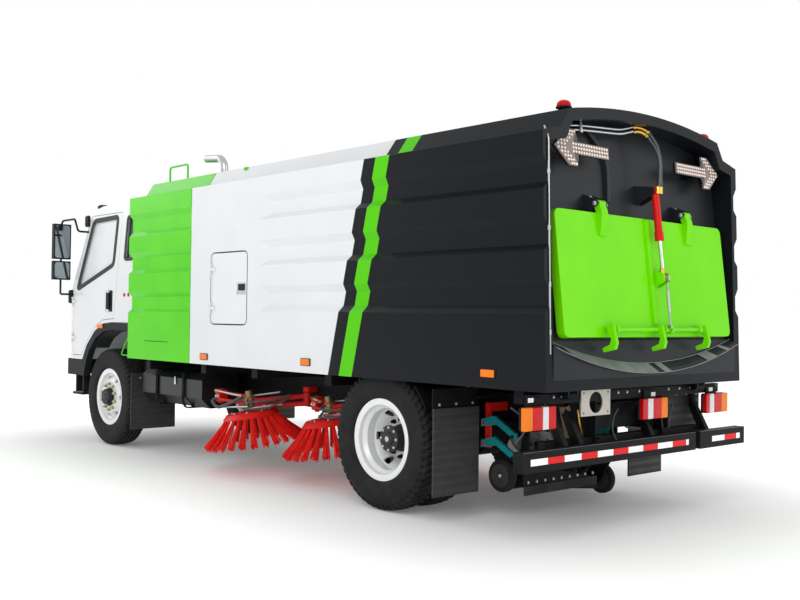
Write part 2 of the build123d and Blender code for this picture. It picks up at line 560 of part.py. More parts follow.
def cut_grooves(grooves, x_rear, x_front, end_run):
    """Cut the pressed grooves into both sides of a body between two X places."""
    for name, side in SIDES:
        for top, upper, lower, bottom in grooves:
            outer_plane = Plane.XZ.offset(-side * (BODY_HALF + 1))
            inner_plane = Plane.XZ.offset(-side * (BODY_HALF - GROOVE_DEPTH))
            with BuildPart(mode=Mode.PRIVATE) as cutter:
                with BuildSketch(outer_plane) as mouth:
                    with BuildLine():
                        Polyline((x_rear, bottom), (x_front, bottom), (x_front, top), (x_rear, top),
                                 close=True)
                    make_face()
                with BuildSketch(inner_plane) as base:
                    with BuildLine():
                        Polyline((x_rear, lower), (x_front - end_run, lower), (x_front - end_run, upper),
                                 (x_rear, upper), close=True)
                    make_face()
                loft([mouth.sketch.face(), base.sketch.face()], ruled=True)
            add(cutter.part, mode=Mode.SUBTRACT)


RAIL_LOOP = ((3640.0, 3290.0), 760.0, 160.0)     # roof rails: fore limits, y, height

with BuildPart() as front_cabinet:
    extrude(body_profile(Plane.YZ.offset(CABINET_X[0])), amount=CABINET_X[1] - CABINET_X[0])
    extrude(body_profile(Plane.YZ.offset(CABINET_X[0] + BODY_WALL), BODY_WALL, BODY_FLOOR - 10),
            amount=CABINET_X[1] - CABINET_X[0] - 2 * BODY_WALL, mode=Mode.SUBTRACT)
    cut_grooves(CABINET_GROOVES, CABINET_X[0] - 50, CABINET_X[1] + 50, 0)
    (front, back), y, high = RAIL_LOOP
    foot = ROOF_EDGE_Z + ROOF_CROWN * (1 - (y / ROOF_EDGE_HALF) ** 2) - 10
    for name, side in SIDES:
        pipe([(fore(front), side * y, foot), (fore(front), side * y, foot + high),
              (fore(back), side * y, foot + high), (fore(back), side * y, foot)], (30, 30), 10)
save(front_cabinet, "front_cabinet")

# ========================================================== hopper (white, black)
WELL_RADIUS = 590.0
WELL_HALF = 1097.0
WELL_BOX = (640.0, 520.0, 1130.0)       # half length, inner y, top
ACCESS_DOOR = ((1655.0, 2206.0), (1311.0, 1933.0))
ACCESS_GAP = 5.0
DOOR_CORNER = 45.0
DISCHARGE_HALF = 860.0
DOOR_PIN = (2214.0, BODY_HALF + 13)     # hinge of the access door: fore, y
DOOR_HINGE_Z = (1450.0, 1790.0)
DOOR_PIN_RADIUS = 4.0
KNUCKLE_LONG = 30.0
DISCHARGE_V = (-720.0, -70.0)

with BuildPart() as hopper_body:
    extrude(body_profile(Plane.YZ.offset(HOPPER_X[0])), amount=HOPPER_X[1] - HOPPER_X[0])
    extrude(body_profile(Plane.YZ.offset(HOPPER_X[0] - 10), BODY_WALL, BODY_FLOOR + BODY_WALL),
            amount=HOPPER_X[1] - HOPPER_X[0] + 10 - BODY_WALL, mode=Mode.SUBTRACT)
    cut_grooves(HOPPER_GROOVES, HOPPER_X[0] - 50, fore(GROOVE_FORE), GROOVE_END_RUN)
    for name, side in SIDES:
        block((REAR_AXLE_X - WELL_BOX[0], REAR_AXLE_X + WELL_BOX[0]),
              (side * WELL_BOX[1], side * (BODY_HALF - BODY_WALL)),
              (BODY_FLOOR + BODY_WALL - 5, WELL_BOX[2]))
        bar((REAR_AXLE_X, side * (WELL_BOX[1] + 20), AXLE_Z), (REAR_AXLE_X, side * WELL_HALF, AXLE_Z),
            WELL_RADIUS, mode=Mode.SUBTRACT)
    side_plate([(fore(-BODY_AFT), BODY_FLOOR), (fore(-BODY_AFT + BODY_REAR_RAKE), 2900), (fore(-1800), 2900),
                (fore(-1800), BODY_FLOOR)], (-BODY_HALF - 5, BODY_HALF + 5), mode=Mode.SUBTRACT)
    with BuildSketch(Plane.XZ.offset(-BODY_HALF - 5)) as door_hole:
        with Locations((fore(sum(ACCESS_DOOR[0]) / 2), sum(ACCESS_DOOR[1]) / 2)):
            RectangleRounded(ACCESS_DOOR[0][1] - ACCESS_DOOR[0][0], ACCESS_DOOR[1][1] - ACCESS_DOOR[1][0],
                             DOOR_CORNER)
    extrude(door_hole.sketch, amount=BODY_WALL + 10, mode=Mode.SUBTRACT)
    for name, side in SIDES:
        for ear in (-1, 1):
            near = side * TIP_PIVOT_HALF + ear * (30 + SWING_GAP)
            bar((fore(-TIP_PIVOT_AFT), near, TIP_PIVOT_Z),
                (fore(-TIP_PIVOT_AFT), near + ear * 16, TIP_PIVOT_Z), 26)
            block((fore(-TIP_PIVOT_AFT) - 26, fore(-TIP_PIVOT_AFT) + 26), (near, near + ear * 16),
                  (TIP_PIVOT_Z, BODY_FLOOR + 1))
        bar((fore(-TIP_PIVOT_AFT), side * (TIP_PIVOT_HALF - 45), TIP_PIVOT_Z),
            (fore(-TIP_PIVOT_AFT), side * (TIP_PIVOT_HALF + 45), TIP_PIVOT_Z), TIP_PIN)
    for ear in (-1, 1):
        block((fore(LIFT_EYE[0] - 45), fore(LIFT_EYE[0] + 45)), (ear * (30 + SWING_GAP), ear * 56),
              (LIFT_EYE[1] - 35, BODY_FLOOR + 1))
    for level in DOOR_HINGE_Z:
        for low in (level - 1.5 * KNUCKLE_LONG - 6, level + KNUCKLE_LONG / 2 + 6):
            block((fore(DOOR_PIN[0] - 8), fore(DOOR_PIN[0] + 8)), (BODY_HALF - 1, DOOR_PIN[1] + 8),
                  (low, low + KNUCKLE_LONG))
        bar((fore(DOOR_PIN[0]), DOOR_PIN[1], level - KNUCKLE_LONG),
            (fore(DOOR_PIN[0]), DOOR_PIN[1], level + KNUCKLE_LONG), DOOR_PIN_RADIUS)
save(hopper_body, "hopper_body")

# Rear panel with its discharge opening and the curved catch tray below it.
with BuildPart() as tail_recess:
    sections = []
    for aft, middle, end in (TRAY_INNER, TRAY_OUTER):
        with BuildSketch(Plane.YZ.offset(fore(-aft))) as section:
            with BuildLine():
                ThreePointArc((-TRAY_HALF, end), (0, middle), (TRAY_HALF, end))
                Polyline((TRAY_HALF, end), (TRAY_HALF, 2900), (-TRAY_HALF, 2900), (-TRAY_HALF, end))
            make_face()
        sections.append(section.sketch.face())
    loft(sections, ruled=True)

with BuildPart() as hopper_tail:
    extrude(body_profile(Plane.YZ.offset(fore(-BODY_AFT)), BODY_WALL + FIT_GAP,
                         BODY_FLOOR + BODY_WALL + FIT_GAP),
            amount=400)
    face_low, face_high = on_tail(-1000, 0), on_tail(900, 0)
    back_low, back_high = on_tail(-1000, -TAIL_PANEL), on_tail(900, -TAIL_PANEL)
    side_plate([(back_low[0], back_low[2]), (back_high[0], back_high[2]), (fore(0), back_high[2]),
                (fore(0), BODY_FLOOR - 60), (back_low[0], BODY_FLOOR - 60)],
               (-1200, 1200), mode=Mode.SUBTRACT)
    side_plate([(face_high[0], face_high[2]), (fore(-1900), face_high[2]), (fore(-1900), TRAY_INNER[2]),
                on_tail(-820, 0)[::2]], (-1200, 1200), mode=Mode.SUBTRACT)
    add(tail_recess.part, mode=Mode.SUBTRACT)
    with BuildSketch(tail_plane(0, -TAIL_PANEL - 5)) as opening:
        with Locations((0, sum(DISCHARGE_V) / 2)):
            RectangleRounded(2 * DISCHARGE_HALF, DISCHARGE_V[1] - DISCHARGE_V[0], 30)
    with BuildSketch(tail_plane(0, 0)) as frame:
        with Locations((0, sum(DISCHARGE_V) / 2)):
            RectangleRounded(2 * DISCHARGE_HALF + 80, DISCHARGE_V[1] - DISCHARGE_V[0] + 80, 50)
    extrude(frame.sketch, amount=HATCH_FRAME)
    extrude(opening.sketch, amount=TAIL_PANEL + HATCH_FRAME + 10, mode=Mode.SUBTRACT)
    # hinge lugs: a pair of ears round each hatch arm, carrying the pin
    for side in (-1, 1):
        for ear in (-1, 1):
            near = side * HINGE_HALF + ear * (34 + SWING_GAP)
            ear_shape = [(-10, -2), (HATCH_HINGE[0] - 0, HATCH_HINGE[1] + 22),
                         (HATCH_HINGE[0] + 24, HATCH_HINGE[1] + 10),
                         (HATCH_HINGE[0] + 80, -2)]
            points = [on_tail(up, out)[::2] for up, out in ear_shape]
            side_plate(points, (near, near + ear * 12))
        pin_out = 34 + SWING_GAP + 14
        bar(on_tail(*HATCH_HINGE, side * HINGE_HALF - pin_out),
            on_tail(*HATCH_HINGE, side * HINGE_HALF + pin_out),
            HINGE_PIN)
    # bracket of the hatch cylinder: two tapered ears with a pin
    for ear in (-1, 1):
        near = CYLINDER_Y + ear * (26 + SWING_GAP)
        bracket = [(CYLINDER_TOP - 75, -2), (CYLINDER_TOP - 22, CYLINDER_OUT + 20),
                   (CYLINDER_TOP + 22, CYLINDER_OUT + 20),
                   (CYLINDER_TOP + 60, -2)]
        side_plate([on_tail(up, out)[::2] for up, out in bracket], (near, near + ear * 10))
    bar(on_tail(CYLINDER_TOP, CYLINDER_OUT, CYLINDER_Y - 42),
        on_tail(CYLINDER_TOP, CYLINDER_OUT, CYLINDER_Y + 42), 14)
save(hopper_tail, "hopper_tail")

# Rear hatch: a thick plate with its hinge arms, rib, clevis and lock-shaft bearings.
HATCH_IN = HATCH_FRAME + 5.0
HATCH_OUT = HATCH_IN + HATCH_THICK
RIB_HALF = 20.0
with BuildPart() as rear_hatch:
    with BuildSketch(tail_plane(0, HATCH_IN)) as plate:
        with Locations((0, -HATCH_LENGTH / 2)):
            RectangleRounded(2 * HATCH_HALF, HATCH_LENGTH, HATCH_CORNER)
    extrude(plate.sketch, amount=HATCH_THICK)
    for side in (-1, 1):
        arm = [(-150, HATCH_OUT - 1), (-150, HATCH_OUT + 14), (-10, HATCH_OUT + 40), (20, HATCH_OUT + 36),
               (HATCH_HINGE[0] + 20, HATCH_HINGE[1] + 8), (HATCH_HINGE[0] + 16, HATCH_HINGE[1] - 18),
               (HATCH_HINGE[0] - 30, HATCH_HINGE[1] - 20), (-15, HATCH_OUT - 1)]
        side_plate([on_tail(up, out)[::2] for up, out in arm],
                   (side * HINGE_HALF - 34, side * HINGE_HALF + 34))
        bar(on_tail(*HATCH_HINGE, side * HINGE_HALF - 34), on_tail(*HATCH_HINGE, side * HINGE_HALF + 34), 24)
        bar(on_tail(*HATCH_HINGE, side * HINGE_HALF - 36), on_tail(*HATCH_HINGE, side * HINGE_HALF + 36),
            HINGE_PIN + PIN_CLEARANCE, mode=Mode.SUBTRACT)
    rib = [(-10, HATCH_OUT - 1), (-10, HATCH_OUT + 18), (-720, HATCH_OUT + 18), (-720, HATCH_OUT - 1)]
    side_plate([on_tail(up, out)[::2] for up, out in rib], (-RIB_HALF, RIB_HALF))
    for ear in (-1, 1):
        near = CYLINDER_Y + ear * (22 + SWING_GAP)
        clevis = [(CYLINDER_EYE - 60, HATCH_OUT - 1), (CYLINDER_EYE - 30, CYLINDER_OUT + 30),
                  (CYLINDER_EYE + 30, CYLINDER_OUT + 30), (CYLINDER_EYE + 60, HATCH_OUT - 1)]
        side_plate([on_tail(up, out)[::2] for up, out in clevis], (near, near + ear * 12))
    for y in (-HOOK_HALF + 60, -60.0, HOOK_HALF - 60):
        bearing = [(LOCK_SHAFT[0] - 24, HATCH_OUT - 1), (LOCK_SHAFT[0] - 20, LOCK_SHAFT[1] + 24),
                   (LOCK_SHAFT[0] + 20, LOCK_SHAFT[1] + 24), (LOCK_SHAFT[0] + 34, HATCH_OUT - 1)]
        side_plate([on_tail(up, out)[::2] for up, out in bearing], (y - 15, y + 15))
        bar(on_tail(*LOCK_SHAFT, y - 16), on_tail(*LOCK_SHAFT, y + 16), LOCK_SHAFT_RADIUS + PIN_CLEARANCE,
            mode=Mode.SUBTRACT)
save(rear_hatch, "rear_hatch")

# Lock shaft with three hooks that reach down past the hatch's lower edge.
with BuildPart() as lock_shaft:
    bar(on_tail(*LOCK_SHAFT, -HOOK_HALF - 12), on_tail(*LOCK_SHAFT, HOOK_HALF + 12), LOCK_SHAFT_RADIUS)
    for y in (-HOOK_HALF, 0.0, HOOK_HALF):
        up, out = LOCK_SHAFT
        hook = [(up + 26, out - 16), (up + 26, out + 30),
                (up - HOOK_DEPTH + 50, out + LOCK_SHAFT_RADIUS + HOOK_REACH),
                (up - HOOK_DEPTH + 10, out + 26), (up - HOOK_DEPTH, out - 60),
                (up - HOOK_DEPTH + 26, out - 66), (up - HOOK_DEPTH + 44, out - 6),
                (up - 60, out + 8), (up - 26, out - 16)]
        side_plate([on_tail(v, w)[::2] for v, w in hook], (y - 14, y + 14))
    bar(on_tail(*LOCK_SHAFT, -140), on_tail(*LOCK_SHAFT, -112), 30)
save(lock_shaft, "lock_shaft")

with BuildPart() as hatch_barrel:
    bar(on_tail(CYLINDER_TOP, CYLINDER_OUT, CYLINDER_Y),
        on_tail(CYLINDER_TOP - HATCH_BARREL, CYLINDER_OUT, CYLINDER_Y), 26)
    bar(on_tail(CYLINDER_TOP - HATCH_BARREL + 60, CYLINDER_OUT, CYLINDER_Y),
        on_tail(CYLINDER_TOP - HATCH_BARREL, CYLINDER_OUT, CYLINDER_Y), 31)
    bar(on_tail(CYLINDER_TOP, CYLINDER_OUT, CYLINDER_Y - 22),
        on_tail(CYLINDER_TOP, CYLINDER_OUT, CYLINDER_Y + 22), 30)
    bar(on_tail(CYLINDER_TOP, CYLINDER_OUT, CYLINDER_Y - 27),
        on_tail(CYLINDER_TOP, CYLINDER_OUT, CYLINDER_Y + 27),
        14 + PIN_CLEARANCE, mode=Mode.SUBTRACT)
    bar(on_tail(CYLINDER_TOP - 40, CYLINDER_OUT, CYLINDER_Y),
        on_tail(CYLINDER_TOP - HATCH_BARREL - 1, CYLINDER_OUT,
                CYLINDER_Y), 13 + PIN_CLEARANCE, mode=Mode.SUBTRACT)
save(hatch_barrel, "hatch_barrel")

with BuildPart() as hatch_rod:
    bar(on_tail(CYLINDER_TOP - HATCH_BARREL + 110, CYLINDER_OUT, CYLINDER_Y),
        on_tail(CYLINDER_EYE, CYLINDER_OUT, CYLINDER_Y), 13)
    bar(on_tail(CYLINDER_EYE, CYLINDER_OUT, CYLINDER_Y - 22),
        on_tail(CYLINDER_EYE, CYLINDER_OUT, CYLINDER_Y + 22), 24)
save(hatch_rod, "hatch_rod")

with BuildPart() as access_door:
    with BuildSketch(Plane.XZ.offset(-BODY_HALF)) as door:
        with Locations((fore(sum(ACCESS_DOOR[0]) / 2), sum(ACCESS_DOOR[1]) / 2)):
            RectangleRounded(ACCESS_DOOR[0][1] - ACCESS_DOOR[0][0] - 2 * ACCESS_GAP,
                             ACCESS_DOOR[1][1] - ACCESS_DOOR[1][0] - 2 * ACCESS_GAP, DOOR_CORNER - ACCESS_GAP)
    extrude(door.sketch, amount=BODY_WALL)
    for level in DOOR_HINGE_Z:
        low, high = level - KNUCKLE_LONG / 2, level + KNUCKLE_LONG / 2
        block((fore(DOOR_PIN[0] - 60), fore(ACCESS_DOOR[0][1] - ACCESS_GAP)),
              (BODY_HALF - 1, BODY_HALF + 8), (low, high))
        block((fore(DOOR_PIN[0] - 60), fore(DOOR_PIN[0])), (BODY_HALF + 6, DOOR_PIN[1]), (low, high))
        bar((fore(DOOR_PIN[0]), DOOR_PIN[1], low), (fore(DOOR_PIN[0]), DOOR_PIN[1], high), 7)
        bar((fore(DOOR_PIN[0]), DOOR_PIN[1], low - 1), (fore(DOOR_PIN[0]), DOOR_PIN[1], high + 1),
            DOOR_PIN_RADIUS + PIN_CLEARANCE, mode=Mode.SUBTRACT)
save(access_door, "access_door")

# Lamps on the hopper: two red beacons on the roof and two arrows on the rear panel.
BEACON_SEAT = 8.9
BEACON = (1440.0, 815.0, 48.0, 46.0)    # aft, half spacing, base radius, dome radius
ARROW = (395.0, 676.0, 556.0)           # up the panel, middle from the centre line, length
ARROW_OUT = 95.0
with BuildPart() as signal_lamps:
    for name, side in SIDES:
        roof = ROOF_EDGE_Z + ROOF_CROWN * (1 - (BEACON[1] / ROOF_EDGE_HALF) ** 2) + BEACON_SEAT
        bar((fore(-BEACON[0]), side * BEACON[1], roof), (fore(-BEACON[0]), side * BEACON[1], roof + 26),
            BEACON[2])
        with Locations((fore(-BEACON[0]), side * BEACON[1], roof + 26)):
            Sphere(BEACON[3], arc_size1=0)
        up, middle, length = ARROW
        # (distance from the centre line, height above the arrow's axis)
        tip, tail = middle + length / 2, middle - length / 2
        half = [(tip, 0), (tip - 170, 110), (tip - 215, 110), (tip - 150, 37), (tail, 37)]
        arrow = [(-side * y, up + rise) for y, rise in half]
        arrow += [(-side * y, up - rise) for y, rise in half[:0:-1]]
        prism(tail_plane(0, ARROW_OUT), arrow, 28)
        arm_y = side * middle
        foot = [(up - 30, 0.3), (up - 30, ARROW_OUT + 1), (up + 30, ARROW_OUT + 1), (up + 30, 0.3)]
        side_plate([on_tail(v, w)[::2] for v, w in foot], (arm_y - 40, arm_y + 40))
save(signal_lamps, "signal_lamps")

# Lift cylinder between the rails, under the hopper.
lift_run = hypot(LIFT_EYE[0] - LIFT_FOOT[0], LIFT_EYE[1] - LIFT_FOOT[1])


def on_lift(distance, y=0.0):
    """A point so far along the lift cylinder from its foot."""
    share = distance / lift_run
    return (fore(LIFT_FOOT[0] + (LIFT_EYE[0] - LIFT_FOOT[0]) * share), y,
            LIFT_FOOT[1] + (LIFT_EYE[1] - LIFT_FOOT[1]) * share)


with BuildPart() as lift_barrel:
    bar(on_lift(0), on_lift(LIFT_BARREL), 50)
    bar(on_lift(0, -35), on_lift(0, 35), 45)
    bar(on_lift(0, -51), on_lift(0, 51), 20 + PIN_CLEARANCE, mode=Mode.SUBTRACT)
    bar(on_lift(120), on_lift(LIFT_BARREL + 1), 32 + PIN_CLEARANCE, mode=Mode.SUBTRACT)
save(lift_barrel, "lift_barrel")

with BuildPart() as lift_rod:
    bar(on_lift(170), on_lift(lift_run), 32)
    bar(on_lift(lift_run, -30), on_lift(lift_run, 30), 38)
save(lift_rod, "lift_rod")

# ============================================================================ cab
# seen from the side: distance ahead of the rear axle, height
CAB_OUTLINE = ((5445.0, CAB_BOTTOM), (5100.0, CAB_BOTTOM), (5035.0, 960.0), (4960.0, 1060.0),
               (4790.0, 1205.0),
               (4600.0, 1283.0), (4400.0, 1300.0), (CAB_REAR_FORE, 1300.0), (CAB_REAR_FORE, 2490.0),
               (CAB_REAR_FORE + 60, CAB_ROOF), (4700.0, CAB_ROOF - 6), (4845.0, 2500.0), (4950.0, 2400.0),
               (5400.0, 1630.0))
CAB_INSIDE = ((5397.0, CAB_BOTTOM + 50), (5120.0, CAB_BOTTOM + 50), (5000.0, 1095.0), (4815.0, 1250.0),
              (4610.0, 1333.0), (4400.0, 1350.0), (CAB_REAR_FORE + 50, 1350.0), (CAB_REAR_FORE + 50, 2470.0),
              (CAB_REAR_FORE + 80, CAB_ROOF - 50), (4690.0, CAB_ROOF - 56), (4825.0, 2455.0),
              (4910.0, 2375.0),
              (5351.0, 1615.0))
DOOR_OUTLINE = ((DOOR_HINGE_FORE - 5, 925.0), (5115.0, 925.0), (5050.0, 1000.0), (4975.0, 1090.0),
                (4800.0, 1238.0), (4610.0, 1318.0), (4350.0, 1335.0), (4175.0, 2448.0), (4872.0, 2448.0),
                (4915.0, 2380.0), (DOOR_HINGE_FORE - 5, 1655.0))
DOOR_WINDOW = ((5240.0, 1655.0), (4845.0, 2390.0), (4278.0, 2402.0), (4371.0, 1905.0))
QUARTER_WINDOW = ((4125.0, 1950.0), (4060.0, 2390.0), (3940.0, 2390.0), (3940.0, 1950.0))
REAR_WINDOW = (560.0, (1950.0, 2390.0))
WINDSHIELD_HALF = 870.0
WINDSHIELD_SPAN = (70.0, 810.0)         # up the windshield's slope from its foot
NOSE_CORNER = 80.0
CAB_HINGE_Z = (1120.0, 1520.0)
CAB_PIN_Y = CAB_HALF + 13
GLASS = 8.0
GLASS_INSET = 18.0
DOOR_GAP = 6.0
WINDSHIELD_FOOT = (5400.0, 1630.0)
WINDSHIELD_LEAN = degrees(atan2(5400.0 - 4950.0, 2400.0 - 1630.0))


def ahead(points):
    """Outline points with their distances turned into X."""
    return [(fore(x), z) for x, z in points]


def grown(points, amount):
    """Face in the XZ plane of an outline offset outwards, or inwards if negative."""
    with BuildSketch(Plane.XZ) as outline:
        with BuildLine():
            Polyline(*ahead(points), close=True)
        make_face()
        if amount:
            offset(amount=amount, kind=Kind.INTERSECTION)
    return outline.sketch


def side_cut(points, amount, side, depth, mode=Mode.SUBTRACT):
    """Extrude an outline inwards from one side of the cab."""
    face = Pos(0, side * (CAB_HALF + 1 if mode == Mode.SUBTRACT else CAB_HALF), 0) * grown(points, amount)
    extrude(face, amount=depth * side, dir=(0, -1, 0), mode=mode)


def windshield_plane(out):
    """Plane parallel to the windshield: local X to the left, local Y up the slope."""
    lean = radians(WINDSHIELD_LEAN)
    normal = (cos(lean), 0, sin(lean))
    origin = (fore(WINDSHIELD_FOOT[0]) + out * normal[0], 0, WINDSHIELD_FOOT[1] + out * normal[2])
    return Plane(origin=origin, x_dir=(0, 1, 0), z_dir=normal)


with BuildPart() as cab_shell:
    side_plate(ahead(CAB_OUTLINE), (-CAB_HALF, CAB_HALF))
    with BuildSketch(Plane.XY.offset(CAB_BOTTOM)) as plan:
        with Locations((fore(CAB_REAR_FORE), 0)):
            RectangleRounded(2 * (CAB_OUTLINE[0][0] - CAB_REAR_FORE), 2 * CAB_HALF, NOSE_CORNER)
    extrude(plan.sketch, amount=2000, mode=Mode.INTERSECT)
    front_view = [(-CAB_HALF, CAB_BOTTOM), (CAB_HALF, CAB_BOTTOM), (CAB_HALF, CAB_ROOF - 55),
                  (CAB_HALF - 35, CAB_ROOF), (-CAB_HALF + 35, CAB_ROOF), (-CAB_HALF, CAB_ROOF - 55)]
    cross_plate(front_view, (fore(CAB_REAR_FORE), fore(NOSE_FORE)), mode=Mode.INTERSECT)
    side_plate(ahead(CAB_INSIDE), (-CAB_HALF + CAB_WALL, CAB_HALF - CAB_WALL), mode=Mode.SUBTRACT)
    for name, side in SIDES:
        side_cut(DOOR_OUTLINE, 0, side, CAB_WALL + 2)
        side_cut(QUARTER_WINDOW, 0, side, CAB_WALL + 2)
    with BuildSketch(windshield_plane(-70)) as glass_hole:
        with Locations((0, sum(WINDSHIELD_SPAN) / 2)):
            RectangleRounded(2 * WINDSHIELD_HALF, WINDSHIELD_SPAN[1] - WINDSHIELD_SPAN[0], 60)
    extrude(glass_hole.sketch, amount=140, mode=Mode.SUBTRACT)
    block((fore(CAB_REAR_FORE - 1), fore(CAB_REAR_FORE + 51)), (-REAR_WINDOW[0], REAR_WINDOW[0]),
          REAR_WINDOW[1],
          mode=Mode.SUBTRACT)
    for name, side in SIDES:
        near = side * (RAIL_HALF + RAIL_WIDTH / 2 + 20 + FIT_GAP)
        tilt_arm = [(CAB_PIVOT_FORE - 90, CAB_BOTTOM + 1), (CAB_PIVOT_FORE - 5, CAB_BOTTOM + 1),
                    (CAB_PIVOT_FORE - 5, CAB_PIVOT_Z + 45), (CAB_PIVOT_FORE + 30, CAB_PIVOT_Z + 20),
                    (CAB_PIVOT_FORE + 30, CAB_PIVOT_Z - 30), (CAB_PIVOT_FORE - 30, CAB_PIVOT_Z - 30),
                    (CAB_PIVOT_FORE - 90, CAB_PIVOT_Z + 45)]
        side_plate(ahead(tilt_arm), (near, near + side * 30))
        bar((fore(CAB_PIVOT_FORE), near - side, CAB_PIVOT_Z),
            (fore(CAB_PIVOT_FORE), near + side * 31, CAB_PIVOT_Z),
            CAB_PIN + PIN_CLEARANCE, mode=Mode.SUBTRACT)
        for level in CAB_HINGE_Z:
            for low in (level - 1.5 * KNUCKLE_LONG - 6, level + KNUCKLE_LONG / 2 + 6):
                block((fore(DOOR_HINGE_FORE - 2), fore(DOOR_HINGE_FORE + 14)),
                      (side * (CAB_HALF - 1), side * (CAB_PIN_Y + 7)),
                      (low, low + KNUCKLE_LONG))
            bar((fore(DOOR_HINGE_FORE + 4), side * CAB_PIN_Y, level - KNUCKLE_LONG),
                (fore(DOOR_HINGE_FORE + 4), side * CAB_PIN_Y, level + KNUCKLE_LONG), DOOR_PIN_RADIUS)
save(cab_shell, "cab_shell")

with BuildPart() as cab_glass:
    with BuildSketch(windshield_plane(-GLASS_INSET - GLASS)) as glass:
        with Locations((0, sum(WINDSHIELD_SPAN) / 2)):
            RectangleRounded(2 * (WINDSHIELD_HALF - FIT_GAP),
                             WINDSHIELD_SPAN[1] - WINDSHIELD_SPAN[0] - 2 * FIT_GAP, 60)
    extrude(glass.sketch, amount=GLASS)
    for name, side in SIDES:
        face = Pos(0, side * (CAB_HALF - GLASS_INSET), 0) * grown(QUARTER_WINDOW, -FIT_GAP)
        extrude(face, amount=GLASS * side, dir=(0, -1, 0))
    block((fore(CAB_REAR_FORE + 20), fore(CAB_REAR_FORE + 20 + GLASS)),
          (-REAR_WINDOW[0] + FIT_GAP, REAR_WINDOW[0] - FIT_GAP),
          (REAR_WINDOW[1][0] + FIT_GAP, REAR_WINDOW[1][1] - FIT_GAP))
save(cab_glass, "cab_glass")

HANDLE_FORE = 4465.0
HANDLE_Z = (1405.0, 1638.0)
for name, side in SIDES:
    with BuildPart() as cab_door:
        side_cut(DOOR_OUTLINE, -DOOR_GAP, side, CAB_WALL, Mode.ADD)
        side_cut(DOOR_WINDOW, 0, side, CAB_WALL + 2)
        block((fore(HANDLE_FORE - 18), fore(HANDLE_FORE + 18)),
              (side * (CAB_HALF - 1), side * (CAB_HALF + 22)), HANDLE_Z)
        for level in CAB_HINGE_Z:
            low, high = level - KNUCKLE_LONG / 2, level + KNUCKLE_LONG / 2
            block((fore(DOOR_HINGE_FORE - 60), fore(DOOR_HINGE_FORE - 12)),
                  (side * (CAB_HALF - 1), side * (CAB_HALF + 8)),
                  (low, high))
            block((fore(DOOR_HINGE_FORE - 60), fore(DOOR_HINGE_FORE + 4)),
                  (side * (CAB_HALF + 6), side * CAB_PIN_Y),
                  (low, high))
            bar((fore(DOOR_HINGE_FORE + 4), side * CAB_PIN_Y, low),
                (fore(DOOR_HINGE_FORE + 4), side * CAB_PIN_Y, high), 7)
            bar((fore(DOOR_HINGE_FORE + 4), side * CAB_PIN_Y, low - 1),
                (fore(DOOR_HINGE_FORE + 4), side * CAB_PIN_Y,
                 high + 1), DOOR_PIN_RADIUS + PIN_CLEARANCE, mode=Mode.SUBTRACT)
        face = Pos(0, side * (CAB_HALF - GLASS_INSET), 0) * grown(DOOR_WINDOW, -FIT_GAP)
        extrude(face, amount=GLASS * side, dir=(0, -1, 0))
    save(cab_door, f"cab_door_{name}")

# Grey trim: wheel-arch bands, bumper with its lamps and grille bars, and the steps.
ARCH_BAND = ((5100.0, 705.0), (5035.0, 935.0), (4960.0, 1045.0), (4785.0, 1190.0), (4600.0, 1265.0),
             (4400.0, 1283.0), (3900.0, 1283.0), (3900.0, 1218.0), (4400.0, 1218.0), (4570.0, 1200.0),
             (4735.0, 1132.0), (4895.0, 995.0), (4965.0, 890.0), (5025.0, 705.0))
BUMPER_Z = (705.0, CAB_BOTTOM - FIT_GAP)
GRILLE_BARS = 5
GRILLE_LOW = 1120.0
GRILLE_PITCH = 62.0
GRILLE_BAR = 34.0
GRILLE_HALF = 560.0


def nose_bar(y, z, near, far):
    """A bar across the cab's nose, between two distances out from its sloping face."""
    lean = (CAB_OUTLINE[-1][0] - CAB_OUTLINE[0][0]) / (CAB_OUTLINE[-1][1] - CAB_OUTLINE[0][1])
    low, high = (CAB_OUTLINE[0][0] + lean * (level - CAB_OUTLINE[0][1]) for level in z)
    side_plate([(fore(low + near), z[0]), (fore(low + far), z[0]), (fore(high + far), z[1]),
                (fore(high + near), z[1])], y)


with BuildPart() as cab_trim:
    for name, side in SIDES:
        side_plate(ahead(ARCH_BAND), (side * (CAB_HALF - 60), side * (CAB_HALF + 12)))
        block((fore(5100), fore(NOSE_FORE - 90)), (side * (CAB_HALF - 60), side * (CAB_HALF - 6)), BUMPER_Z)
        for place, drop, half in ((5230, 490, 120),):
            block((fore(place - half), fore(place + half)), (side * 790, side * 985), (drop, drop + 25))
            block((fore(place - half + 20), fore(place - half + 45)), (side * 880, side * 960),
                  (drop + 20, BUMPER_Z[0] + 20))
            block((fore(place + half - 45), fore(place + half - 20)), (side * 880, side * 960),
                  (drop + 20, BUMPER_Z[0] + 20))
            block((fore(place - half + 20), fore(place + half - 20)), (side * 880, side * 960),
                  (BUMPER_Z[0], BUMPER_Z[0] + 20))
    block((fore(NOSE_FORE - 120), fore(NOSE_FORE)), (-CAB_HALF + 6, CAB_HALF - 6), BUMPER_Z)
    for level in range(GRILLE_BARS):
        low = GRILLE_LOW + level * GRILLE_PITCH
        nose_bar((-GRILLE_HALF, GRILLE_HALF), (low, low + GRILLE_BAR), 12, 34)
    for post in (-GRILLE_HALF + 20, 0, GRILLE_HALF - 20):
        nose_bar((post - 14, post + 14), (GRILLE_LOW,
                                          GRILLE_LOW + (GRILLE_BARS - 1) * GRILLE_PITCH + GRILLE_BAR),
                 FIT_GAP, 22)
save(cab_trim, "cab_trim")

with BuildPart() as head_lamps:
    for name, side in SIDES:
        nose_bar((side * 600, side * 905), (905, 1050), FIT_GAP, 22)
save(head_lamps, "head_lamps")

